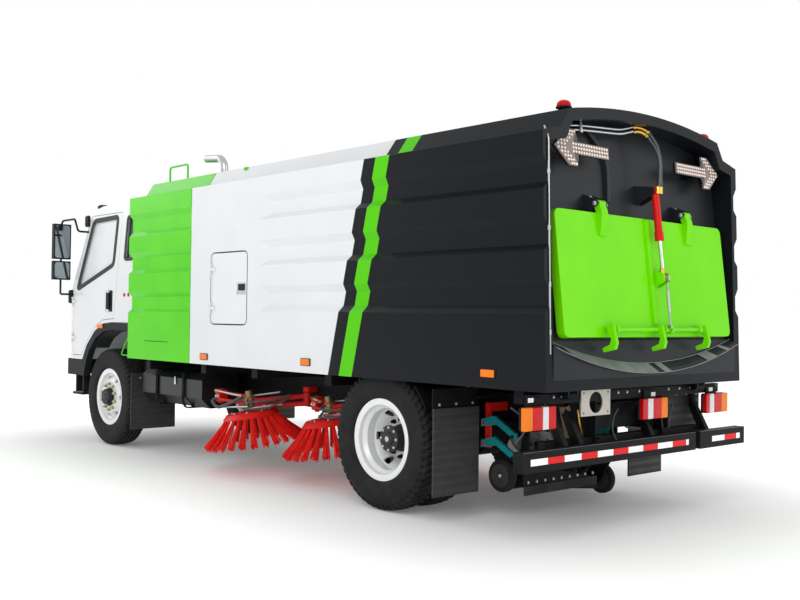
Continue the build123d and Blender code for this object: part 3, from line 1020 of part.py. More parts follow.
MIRROR_X = (fore(5345), fore(5405))
MIRROR_Y = (1040.0, 1235.0)
MIRRORS_Z = ((1990.0, 2380.0), (1760.0, 1968.0))
ARM_Y = 1120.0
ARM_X = fore(5422)
ARM_FEET = ((4985.0, 2280.0), (5352.0, 1600.0))
ARM_TOP = 2420.0
ARM_RADIUS = 11.0
with BuildPart() as mirrors:
    for name, side in SIDES:
        arm = [(fore(ARM_FEET[0][0]), side * (CAB_HALF + FIT_GAP), ARM_FEET[0][1]),
               (fore(ARM_FEET[0][0]), side * ARM_Y, ARM_FEET[0][1]),
               (fore(ARM_FEET[0][0] + 90), side * ARM_Y, ARM_TOP),
               (ARM_X, side * ARM_Y, ARM_TOP), (ARM_X, side * ARM_Y, ARM_FEET[1][1]),
               (fore(ARM_FEET[1][0]), side * ARM_Y, ARM_FEET[1][1]),
               (fore(ARM_FEET[1][0]), side * (CAB_HALF + FIT_GAP), ARM_FEET[1][1])]
        pipe(arm, (30, 40, 60, 30, 25), ARM_RADIUS)
        for low, high in MIRRORS_Z:
            with Locations(((MIRROR_X[0] + MIRROR_X[1]) / 2, side * sum(MIRROR_Y) / 2, (low + high) / 2)):
                Box(MIRROR_X[1] - MIRROR_X[0], MIRROR_Y[1] - MIRROR_Y[0], high - low)
            block((MIRROR_X[1] - 1, ARM_X), (side * (ARM_Y - 12), side * (ARM_Y + 12)),
                  ((low + high) / 2 - 20, (low + high) / 2 + 20))
save(mirrors, "mirrors")

SEAT_Y = 480.0
FLOOR_Z = 1350.0
with BuildPart() as seats:
    for name, side in SIDES:
        seat = [(4180, FLOOR_Z + FIT_GAP), (4620, FLOOR_Z + FIT_GAP), (4680, FLOOR_Z + 150),
                (4660, FLOOR_Z + 220),
                (4220, FLOOR_Z + 200), (4120, FLOOR_Z + 760), (4000, FLOOR_Z + 760), (4080, FLOOR_Z + 120)]
        side_plate(ahead(seat), (side * (SEAT_Y - 240), side * (SEAT_Y + 240)))
save(seats, "seats")

COLUMN = ((5080.0, 1520.0), (4960.0, 1690.0))
with BuildPart() as dashboard:
    dash = [(5345, 1610), (5030, 1600), (5010, 1480), (5080, 1350), (5345, 1340)]
    side_plate(ahead(dash), (-CAB_HALF + CAB_WALL + FIT_GAP, CAB_HALF - CAB_WALL - FIT_GAP))
    bar((fore(COLUMN[0][0]), SEAT_Y, COLUMN[0][1]), (fore(COLUMN[1][0]), SEAT_Y, COLUMN[1][1]), 30)
save(dashboard, "dashboard")

WHEEL_RADIUS = 215.0
with BuildPart() as steering_wheel:
    rise = Vector(COLUMN[1][0] - COLUMN[0][0], 0, COLUMN[1][1] - COLUMN[0][1]).normalized()
    hub = Vector(fore(COLUMN[1][0]), SEAT_Y, COLUMN[1][1]) + rise * 0.5
    rim_plane = Plane(origin=hub + rise * 60, x_dir=(0, 1, 0), z_dir=rise)
    with BuildSketch(Plane(origin=rim_plane.origin + rim_plane.x_dir * WHEEL_RADIUS, x_dir=rim_plane.x_dir,
                           z_dir=rim_plane.y_dir)) as grip:
        Circle(15)
    revolve(grip.sketch, axis=Axis(rim_plane.origin, rise))
    bar(hub, hub + rise * 45, 40)
    for angle in (90, 210, 330):
        spoke = rim_plane.origin + rim_plane.x_dir * (WHEEL_RADIUS * cos(radians(angle))) \
            + rim_plane.y_dir * (WHEEL_RADIUS * sin(radians(angle)))
        bar(hub + rise * 30, spoke, 11)
save(steering_wheel, "steering_wheel")

# =============================================== on the cabinet's and hopper's roofs
EXHAUST = (3035.0, 500.0, 38.0)         # fore, y, radius
EXHAUST_TOP = 2935.0
with BuildPart() as exhaust_stack:
    x, y, radius = EXHAUST
    foot = ROOF_EDGE_Z + ROOF_CROWN * (1 - ((y - radius - 35) / ROOF_EDGE_HALF) ** 2) + FIT_GAP
    pipe([(fore(x), y, foot), (fore(x), y, EXHAUST_TOP), (fore(x + 330), y, EXHAUST_TOP + 30)], (120,),
         radius)
    bar((fore(x), y, foot), (fore(x), y, foot + 12), radius + 35)
    bar((fore(x + 120), y, EXHAUST_TOP + 30 * 120 / 330), (fore(x + 331), y, EXHAUST_TOP + 30), radius - 5,
        mode=Mode.SUBTRACT)
save(exhaust_stack, "exhaust_stack")

# Steel pipes and hoses that feed the hatch cylinder.
PIPE_RADIUS = 9.0
PIPE_PITCH = 30.0

with BuildPart() as rear_pipes:
    for number in (0, 1):
        low = PIPE_PITCH * number
        route = [on_tail(557 - low, 30, 800), on_tail(577 - low, 60, 600), on_tail(600 - low, 80, 180),
                 on_tail(630 - low, 100, 40), on_tail(600 - low, 130 + low / 2, -90),
                 on_tail(440, 165 + low / 2, CYLINDER_Y - 75 - low),
                 on_tail(CYLINDER_TOP + 60, 175 + low / 2, CYLINDER_Y + 20 - low)]
        pipe(route, (120, 120, 60, 60, 120), PIPE_RADIUS)
    clamp = [(527, FIT_GAP), (527, 74), (597, 74), (597, FIT_GAP)]
    side_plate([on_tail(up, out)[::2] for up, out in clamp], (588, 612))
save(rear_pipes, "rear_pipes")

# ================================================================= suction nozzle
ARM_PIVOTS = (-630.0, 640.0, 660.0, 515.0)      # fore, y, upper height, lower height
ARM_RUN = (-270.0, -70.0)                       # from a pivot to its pin on the nozzle
ARM_KNEE = (-110.0, 28.0)
ARM_THICK = 24.0
NOZZLE_PIN = 12.0
NOZZLE = ((-800.0, -560.0), 420.0, (160.0, 285.0))
NOZZLE_SHOULDER = 40.0
NOZZLE_BRACKET = 506.0      # middle of a bracket plate between the nozzle and its caster
NOZZLE_DUCT = (-676.0, 480.0, 105.0)    # fore, top, radius
CASTER_FORE = -740.0
CASTER_HALF = 570.0
CASTER_RADIUS = 115.0
CASTER_WIDTH = 56.0
CASTER_PIN = 10.0
roll = radians(NOZZLE_ROLL)
NOZZLE_MIDDLE_Z = 240.0


def caster_middle(side):
    """Centre of a caster wheel: the nozzle hangs lower on its right."""
    return (fore(CASTER_FORE), side * CASTER_HALF, NOZZLE_MIDDLE_Z - 5 + side * CASTER_HALF * sin(roll))


for label, level in (("upper", ARM_PIVOTS[2]), ("lower", ARM_PIVOTS[3])):
    with BuildPart() as nozzle_arm:
        for name, side in SIDES:
            x, z = ARM_PIVOTS[0], level
            knee = (x + ARM_KNEE[0], z + ARM_KNEE[1])
            end = (x + ARM_RUN[0], z + ARM_RUN[1])
            arm = [(x + 24, z - 26), (x + 24, z + 26), (knee[0] + 8, knee[1] + 30),
                   (end[0] - 22, end[1] + 22),
                   (end[0] - 24, end[1] - 24), (knee[0] - 10, knee[1] - 28)]
            near = side * ARM_PIVOTS[1] - ARM_THICK / 2
            side_plate(ahead(arm), (near, near + ARM_THICK))
            for pin_x, pin_z in ((x, z), end):
                bar((fore(pin_x), near - 1, pin_z), (fore(pin_x), near + ARM_THICK + 1, pin_z),
                    NOZZLE_PIN + PIN_CLEARANCE, mode=Mode.SUBTRACT)
    save(nozzle_arm, f"nozzle_arm_{label}")

with BuildPart() as suction_nozzle:
    (aft, front), half, (low, high) = NOZZLE
    hood = [(-half, low - half * sin(roll)), (half, low + half * sin(roll)),
            (half, high + half * sin(roll) - NOZZLE_SHOULDER),
            (half - 160, high + half * sin(roll)), (160 - half, high - half * sin(roll)),
            (-half, high - half * sin(roll) - NOZZLE_SHOULDER)]
    cross_plate(hood, (fore(aft), fore(front)))
    hollow = [(-half + 15, low - 90), (half - 15, low - 90),
              (half - 15, high + half * sin(roll) - NOZZLE_SHOULDER - 12),
              (half - 170, high + half * sin(roll) - 20), (170 - half, high - half * sin(roll) - 20),
              (15 - half, high - half * sin(roll) - NOZZLE_SHOULDER - 12)]
    cross_plate(hollow, (fore(aft + 12), fore(front - 12)), mode=Mode.SUBTRACT)
    duct_x, duct_top, duct_radius = NOZZLE_DUCT
    bar((fore(duct_x), 0, high - 20), (fore(duct_x), 0, duct_top), duct_radius)
    bar((fore(duct_x), 0, high - 60), (fore(duct_x), 0, duct_top + 1), duct_radius - 12,
        mode=Mode.SUBTRACT)
    for name, side in SIDES:
        pin_x, pin_drop = ARM_PIVOTS[0] + ARM_RUN[0], ARM_RUN[1]
        edge_z = (low + high) / 2 + side * half * sin(roll)
        bracket = [(pin_x - 26, ARM_PIVOTS[2] + pin_drop + 26), (pin_x + 26, ARM_PIVOTS[2] + pin_drop + 26),
                   (pin_x + 60, ARM_PIVOTS[3] + pin_drop), (aft + 160, edge_z + 30), (aft + 160, edge_z - 30),
                   (aft + 40, edge_z - 30), (pin_x - 26, ARM_PIVOTS[3] + pin_drop - 30)]
        near = side * NOZZLE_BRACKET
        side_plate(ahead(bracket), (near - 6, near + 6))
        block((fore(aft + 50), fore(aft + 150)), (side * (half - 1), near), (edge_z - 20, edge_z + 20))
        for level in ARM_PIVOTS[2:]:
            bar((fore(pin_x), near, level + pin_drop),
                (fore(pin_x), side * (ARM_PIVOTS[1] + 20), level + pin_drop), NOZZLE_PIN)
        x, y, z = caster_middle(side)
        stub = side * (CASTER_HALF + CASTER_WIDTH / 2 + 4)
        bar((x, side * (half - 1), z), (x, stub, z), CASTER_PIN)
save(suction_nozzle, "suction_nozzle")

for name, side in SIDES:
    with BuildPart() as caster:
        x, y, z = caster_middle(side)
        bar((x, y - CASTER_WIDTH / 2, z), (x, y + CASTER_WIDTH / 2, z), CASTER_RADIUS)
        for face in (-1, 1):
            bar((x, y + face * (CASTER_WIDTH / 2 + 1), z), (x, y + face * (CASTER_WIDTH / 2 - 14), z), 72,
                mode=Mode.SUBTRACT)
        bar((x, y - CASTER_WIDTH / 2, z), (x, y + CASTER_WIDTH / 2, z), 26)
        bar((x, y - CASTER_WIDTH, z), (x, y + CASTER_WIDTH, z), CASTER_PIN + PIN_CLEARANCE,
            mode=Mode.SUBTRACT)
    save(caster, f"caster_{name}")

# ================================================================== side brushes
# place: fore, y; swing pivot: fore, y
BRUSHES = (("front", (1992.0, 838.0), (1620.0, 500.0)), ("rear", (1130.0, 620.0), (740.0, 560.0)))
BRUSH_Z = 545.0             # middle of the brush plate's top
BRUSH_LEAN = (0.67, 0.742)  # the side towards which a left brush dips
PIVOT_PIN = 18.0
PIVOT_Z = (600.0, 720.0)
MOTOR_RADIUS = 45.0
PLATE_THICK = 50.0
MOTOR_SHAFT = 15.0

# Hangers of the nozzle arms and brush arms, on the rails.
with BuildPart() as tool_hangers:
    for name, side in SIDES:
        y = side * (ARM_PIVOTS[1] - 40)
        block((fore(ARM_PIVOTS[0] - 22), fore(ARM_PIVOTS[0] + 22)), (y - 10, y + 10),
              (ARM_PIVOTS[3] - 30, RAIL_TOP - 60))
        block((fore(ARM_PIVOTS[0] - 22), fore(ARM_PIVOTS[0] + 22)), (y, side * (RAIL_HALF + RAIL_WIDTH / 2)),
              (RAIL_TOP - 120, RAIL_TOP - 60))
        for level in ARM_PIVOTS[2:]:
            bar((fore(ARM_PIVOTS[0]), y, level), (fore(ARM_PIVOTS[0]), side * (ARM_PIVOTS[1] + 20), level),
                NOZZLE_PIN)
        for label, place, pivot in BRUSHES:
            x, y = fore(pivot[0]), side * pivot[1]
            rail = side * (RAIL_HALF + RAIL_WIDTH / 2)
            block((x - 40, x + 40), (rail, y), (PIVOT_Z[1] + SWING_GAP, PIVOT_Z[1] + 50))
            bar((x, y, PIVOT_Z[1] + SWING_GAP), (x, y, PIVOT_Z[1] + 50), 40)
            bar((x, y, PIVOT_Z[0]), (x, y, PIVOT_Z[1] + 50), PIVOT_PIN)
save(tool_hangers, "tool_hangers")

for name, side in SIDES:
    for label, place, pivot in BRUSHES:
        tilt = radians(BRUSH_TILT)
        axis = Vector(BRUSH_LEAN[0] * sin(tilt), side * BRUSH_LEAN[1] * sin(tilt), cos(tilt))
        centre = Vector(fore(place[0]), side * place[1], BRUSH_Z)
        pivot_point = Vector(fore(pivot[0]), side * pivot[1], sum(PIVOT_Z) / 2)
        motor_foot = centre + axis * SWING_GAP
        motor_top = centre + axis * 130
        with BuildPart() as brush_arm:
            bar((pivot_point.X, pivot_point.Y, PIVOT_Z[0] + 10), (pivot_point.X, pivot_point.Y, PIVOT_Z[1]),
                36)
            bar(centre + axis * SWING_GAP, motor_top, MOTOR_RADIUS)
            bar(centre + axis * 70, motor_top + axis * 50, 30)
            bar(centre - axis * (PLATE_THICK - 10), motor_top, MOTOR_SHAFT)
            for drop in (-35, 35):
                bar(pivot_point + Vector(0, 0, drop), motor_foot + axis * (60 + drop * 0.6), 22)
            bar(Vector(pivot_point.X, pivot_point.Y, PIVOT_Z[0] - 20),
                Vector(pivot_point.X, pivot_point.Y, PIVOT_Z[1] + 60),
                PIVOT_PIN + PIN_CLEARANCE, mode=Mode.SUBTRACT)
        save(brush_arm, f"brush_arm_{label}_{name}")

        with BuildPart() as brush:
            with Locations(Plane(origin=centre - axis * PLATE_THICK, z_dir=axis)):
                Cone(BRUSH_PLATE, BRUSH_PLATE - 40, PLATE_THICK,
                     align=(Align.CENTER, Align.CENTER, Align.MIN))
                with PolarLocations(BRUSH_PLATE - 22, BRUSH_TUFTS):
                    with Locations(Location((0, 0, 4), (0, 180 - TUFT_FLARE, 0))):
                        Cone(10, 21, TUFT_LENGTH, align=(Align.CENTER, Align.CENTER, Align.MIN))
            bar(centre - axis * (PLATE_THICK - 10), centre + axis, MOTOR_SHAFT + PIN_CLEARANCE,
                mode=Mode.SUBTRACT)
        save(brush, f"brush_{label}_{name}")
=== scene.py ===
"""Street sweeper truck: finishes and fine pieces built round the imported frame."""

import logging
import math
from collections.abc import Sequence
from dataclasses import dataclass, field, replace
from enum import Enum

import bpy
import numpy as np
from mathutils import Matrix, Vector

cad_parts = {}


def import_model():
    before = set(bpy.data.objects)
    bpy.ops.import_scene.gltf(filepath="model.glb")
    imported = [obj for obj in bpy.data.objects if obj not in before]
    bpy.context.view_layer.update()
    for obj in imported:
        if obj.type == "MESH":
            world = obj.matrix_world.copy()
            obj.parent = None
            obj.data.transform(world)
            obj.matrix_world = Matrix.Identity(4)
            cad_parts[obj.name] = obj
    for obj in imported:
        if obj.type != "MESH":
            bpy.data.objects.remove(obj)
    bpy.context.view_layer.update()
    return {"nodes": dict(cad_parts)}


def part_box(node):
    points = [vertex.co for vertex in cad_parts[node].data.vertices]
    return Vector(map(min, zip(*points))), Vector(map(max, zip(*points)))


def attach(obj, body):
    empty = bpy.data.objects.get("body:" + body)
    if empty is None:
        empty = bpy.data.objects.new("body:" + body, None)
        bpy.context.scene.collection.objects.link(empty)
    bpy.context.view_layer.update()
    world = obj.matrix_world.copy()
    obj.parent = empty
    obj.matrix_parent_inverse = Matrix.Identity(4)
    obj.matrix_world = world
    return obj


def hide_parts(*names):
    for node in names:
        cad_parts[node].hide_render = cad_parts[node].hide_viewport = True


LOG = logging.getLogger("sweeper")
Array = np.ndarray
Point = Sequence[float] | Array
Outline = Sequence[Sequence[float]]
Pair = tuple[float, float]
Pairs = tuple[Pair, ...]
Row = tuple[float, ...]
Blocks = Sequence[tuple[Point, Point, float]]
Tree = bpy.types.NodeTree
Socket = bpy.types.NodeSocket
SIDES = (("left", 1), ("right", -1))
AHEAD, ACROSS, UPRIGHT, ASTERN = (1, 0, 0), (0, 1, 0), (0, 0, 1), (-1, 0, 0)
EDGE_SHARE = 0.45           # most of an edge that a corner's curve may take up


@dataclass
class Shell:
    """A surface: its points, and the quads and triangles that join them."""

    points: Array
    quads: Array = field(default_factory=lambda: np.zeros((0, 4), int))
    triangles: Array = field(default_factory=lambda: np.zeros((0, 3), int))


def joined(shells: Sequence[Shell]) -> Shell:
    """Put surfaces into one.

    Args:
        shells: the surfaces.

    Returns:
        One surface, each part's face numbers shifted past the points before it.
    """
    starts = np.cumsum([0] + [len(s.points) for s in shells[:-1]])
    return Shell(
        np.concatenate([s.points for s in shells]),
        np.concatenate([s.quads + n for s, n in zip(shells, starts)]),
        np.concatenate([s.triangles + n for s, n in zip(shells, starts)]),
    )


def grid(points: Array, loop: bool = False) -> Shell:
    """Join a grid of points into quads; the last column joins the first.

    Args:
        points: rows x columns x 3.
        loop: the last row joins the first too.

    Returns:
        The surface whose quad (i, j) has corners (i, j), (i, j+1), (i+1, j+1), (i+1, j).
    """
    rows, columns = points.shape[:2]
    i, j = np.meshgrid(np.arange(rows if loop else rows - 1), np.arange(columns), indexing="ij")
    here, below, beside = i * columns, (i + 1) % rows * columns, (j + 1) % columns
    quads = np.stack([here + j, here + beside, below + beside, below + j], -1)
    return Shell(points.reshape(-1, 3), quads.reshape(-1, 4))


def closed(rings: Array) -> Shell:
    """Close a stack of rings with a fan of triangles over the first ring and the last.

    Args:
        rings: rings x points x 3.

    Returns:
        The closed surface.
    """
    body = grid(rings)
    rows, columns = rings.shape[:2]
    centres = np.stack([rings[0].mean(0), rings[-1].mean(0)])
    here = np.arange(columns)
    there = (here + 1) % columns
    first, last = rows * columns, rows * columns + 1
    base = (rows - 1) * columns
    fans = np.concatenate([
        np.stack([np.full(columns, first), there, here], -1),
        np.stack([np.full(columns, last), base + here, base + there], -1),
    ])
    return Shell(np.concatenate([body.points, centres]), body.quads, fans)


def unit(rows: Array) -> Array:
    """The same directions with length 1, one in each row."""
    return rows / np.linalg.norm(rows, axis=1)[:, None]


def frame_of(axis: Sequence[float]) -> tuple[Array, Array, Array]:
    """Find two directions square to an axis.

    Args:
        axis: any direction.

    Returns:
        The two directions and the axis itself, each of length 1, as a right-handed set.
    """
    w = np.array(axis, float)
    w /= np.linalg.norm(w)
    helper = np.array([0, 0, 1.0]) if abs(w[2]) < 0.9 else np.array([1.0, 0, 0])
    u = np.cross(helper, w)
    u /= np.linalg.norm(u)
    return u, np.cross(w, u), w


def lathe(profile: Outline, centre: Point, axis: Point, sides: int = 32) -> Shell:
    """Surface of revolution: point(s, a) = centre + along(s) w + radius(s) (cos a u + sin a v).

    Args:
        profile: pairs of distance along the axis and radius.
        centre: where the axis starts.
        axis: its direction.
        sides: how many faces go round.

    Returns:
        The closed surface.
    """
    u, v, w = frame_of(axis)
    along, radius = np.array(profile, float).T
    angle = np.linspace(0, 2 * np.pi, sides, endpoint=False)
    spoke = np.cos(angle)[:, None] * u + np.sin(angle)[:, None] * v
    rings = np.array(centre) + along[:, None, None] * w + radius[:, None, None] * spoke
    return closed(rings)


def corner(here: Array, back: Array, on: Array, reach: Pair, steps: int) -> Array:
    """Turn a corner p into the curve (1-t)^2 a + 2t(1-t) p + t^2 b.

    Args:
        here: the corner p.
        back: from it to the point before.
        on: from it to the point after.
        reach: how far along each of the two the curve starts (a) and stops (b).
        steps: how many pieces the curve has.

    Returns:
        The curve's points.
    """
    t = np.linspace(0, 1, steps + 1)[:, None]
    a = here + back / np.linalg.norm(back) * reach[0]
    b = here + on / np.linalg.norm(on) * reach[1]
    return (1 - t) ** 2 * a + 2 * t * (1 - t) * here + t**2 * b


def bent(points: Sequence[Point], radius: float, steps: int = 6) -> Array:
    """Round the corners of an open path.

    Args:
        points: the path's corners and ends.
        radius: how far from a corner its curve starts, on edges that are long enough.
        steps: pieces in each curve.

    Returns:
        The path's points.
    """
    path = [np.array(p, float) for p in points]
    made = [path[0][None]]
    for before, here, after in zip(path, path[1:], path[2:]):
        back, on = before - here, after - here
        reach = min(radius, np.linalg.norm(back) * EDGE_SHARE, np.linalg.norm(on) * EDGE_SHARE)
        made.append(corner(here, back, on, (reach, reach), steps))
    made.append(path[-1][None])
    return np.concatenate(made)


def rounded(outline: Outline, radius: float, steps: int = 5) -> Array:
    """Round the corners of a closed outline.

    Args:
        outline: its corners.
        radius: how far from a corner its curve starts, on edges that are long enough.
        steps: pieces in each curve.

    Returns:
        The outline's points.
    """
    shape = np.array(outline, float)
    made = []
    for before, here, after in zip(np.roll(shape, 1, 0), shape, np.roll(shape, -1, 0)):
        back, on = before - here, after - here
        reach = (min(radius, np.linalg.norm(back) * EDGE_SHARE), min(radius, np.linalg.norm(on) * EDGE_SHARE))
        made.append(corner(here, back, on, reach, steps))
    return np.concatenate(made)


def tube(path: Array, radius: float | Array, sides: int = 12) -> Shell:
    """Carry a circle along a path: point(s, a) = path(s) + radius(s) (cos a n + sin a b).

    Args:
        path: the tube's middle line.
        radius: one radius, or one for each point of the path.
        sides: how many faces go round.

    Returns:
        The closed surface.
    """
    path = np.asarray(path, float)
    tangent = unit(np.gradient(path, axis=0))
    helpers = np.array([[0.31, 0.53, 0.79], [-0.62, 0.66, 0.42], [0.74, -0.19, 0.64]])
    helper = helpers[np.abs(tangent @ helpers.T).max(0).argmin()]
    n = unit(np.cross(tangent, helper))
    b = np.cross(tangent, n)
    angle = np.linspace(0, 2 * np.pi, sides, endpoint=False)
    r = np.broadcast_to(radius, len(path))[:, None, None]
    rings = path[:, None] + r * (np.cos(angle)[:, None] * n[:, None] + np.sin(angle)[:, None] * b[:, None])
    return closed(rings)


def plate(outline: Outline, origin: Point, u: Point, v: Point, depth: float,
          bevel: float = 0.0) -> Shell:
    """An outline carried straight through its thickness, drawn in by the bevel at both faces.

    Args:
        outline: pairs measured along u and v from the origin.
        origin: where the outline is measured from, on the near face.
        u: first direction of the outline.
        v: second direction; the thickness runs along u x v.
        depth: the thickness.
        bevel: width of the broken edge.

    Returns:
        The closed surface.
    """
    shape = np.array(outline, float)
    middle = (shape.min(0) + shape.max(0)) / 2
    half = np.maximum((shape.max(0) - shape.min(0)) / 2, 1e-6)
    small = middle + (shape - middle) * (1 - np.minimum(bevel / half, 0.9))
    u, v = np.array(u, float), np.array(v, float)
    w = np.cross(u, v)
    levels = [(small, 0.0), (shape, bevel), (shape, depth - bevel), (small, depth)] if bevel else \
        [(shape, 0.0), (shape, depth)]
    rings = np.stack([np.array(origin) + s[:, :1] * u + s[:, 1:] * v + h * w for s, h in levels])
    return closed(rings)


def box_outline(low: Sequence[float], high: Sequence[float]) -> list[Pair]:
    """The corners of an upright rectangle."""
    return [(low[0], low[1]), (high[0], low[1]), (high[0], high[1]), (low[0], high[1])]


def soft_box(low: Sequence[float], high: Sequence[float], bevel: float = 0.003) -> Shell:
    """Make a box with broken edges: a rectangle with cut corners carried upwards.

    Args:
        low: one corner.
        high: the corner opposite, in any order.
        bevel: width of the broken edges.

    Returns:
        The closed surface.
    """
    (x0, y0, z0), (x1, y1, z1) = np.minimum(low, high), np.maximum(low, high)
    c = min(bevel, (x1 - x0) / 3, (y1 - y0) / 3)
    outline = [(x0 + c, y0), (x1 - c, y0), (x1, y0 + c), (x1, y1 - c), (x1 - c, y1), (x0 + c, y1),
               (x0, y1 - c), (x0, y0 + c)]
    return plate(outline, (0, 0, z0), (1, 0, 0), (0, 1, 0), z1 - z0, min(bevel, (z1 - z0) / 3))


def dome(centre: Point, axis: Point, radius: float, height: float, sides: int = 16, rows: int = 5) -> Shell:
    """A round cap: radius cos t outwards, height sin t along the axis, t up to almost a quarter turn."""
    t = np.linspace(0, np.pi / 2 * 0.97, rows)
    return lathe(np.stack([height * np.sin(t), radius * np.cos(t)], -1), centre, axis, sides)


def rod(start: Point, end: Point, radius: float, sides: int = 16) -> Shell:
    """Make a straight round bar with broken edges.

    Args:
        start: middle of its first end.
        end: middle of its other end.
        radius: the bar's radius.
        sides: how many faces go round.

    Returns:
        The closed surface.
    """
    a, b = np.array(start, float), np.array(end, float)
    length = float(np.linalg.norm(b - a))
    edge = min(radius * 0.15, length / 4)
    profile = [(0, radius - edge), (edge, radius), (length - edge, radius), (length, radius - edge)]
    return lathe(profile, a, b - a, sides)


def bolt(centre: Point, axis: Point, radius: float) -> Shell:
    """A hexagon head on its washer."""
    head = [(0, radius * 1.35), (radius * 0.25, radius * 1.35), (radius * 0.26, radius),
            (radius * 0.85, radius), (radius, radius * 0.8)]
    return lathe(head, centre, axis, 6)


def polar(turn: float, radius: float, u: Point, v: Point) -> Array:
    """A step of radius (cos turn u + sin turn v)."""
    return radius * (math.cos(turn) * np.array(u) + math.sin(turn) * np.array(v))


def turns(count: int) -> Array:
    """Angles that share a full turn evenly."""
    return np.arange(count) * 2 * np.pi / count


def linear(code: str) -> tuple[float, float, float, float]:
    """Turn an sRGB colour to linear light, channel by channel.

    Args:
        code: the colour in hex, as #rrggbb.

    Returns:
        Red, green, blue and full cover.
    """
    parts = [int(code[i:i + 2], 16) / 255 for i in (1, 3, 5)]
    r, g, b = (c / 12.92 if c <= 0.04045 else ((c + 0.055) / 1.055) ** 2.4 for c in parts)
    return r, g, b, 1.0


def add(tree: Tree, kind: str, inputs: dict | None = None, **settings: object) -> bpy.types.Node:
    """Add a shader node.

    Args:
        tree: the material's node tree.
        kind: the node's type name, without the ShaderNode that all start with.
        inputs: socket name or number to a value, or to the socket it is fed from.
        settings: the node's own properties.

    Returns:
        The node.
    """
    made = tree.nodes.new(f"ShaderNode{kind}")
    for name, value in settings.items():
        setattr(made, name, value)
    for name, value in (inputs or {}).items():
        if isinstance(value, Socket):
            tree.links.new(value, made.inputs[name])
        else:
            made.inputs[name].default_value = value
    return made


DUST = "#8d867c"                        # road dust
DUST_TOP, DUST_FOOT = 1.25, 0.1         # heights where it ends and where it is thickest


class Relief(Enum):
    """How a surface's small bumps lie."""

    GRAIN = "grain"         # even, as left by spraying or casting
    RIBS = "ribs"           # fine level ribs, as pressed into sheet rubber
    FACETS = "facets"       # small cells, as moulded into a lens
    BRUSHED = "brushed"     # long fine scratches


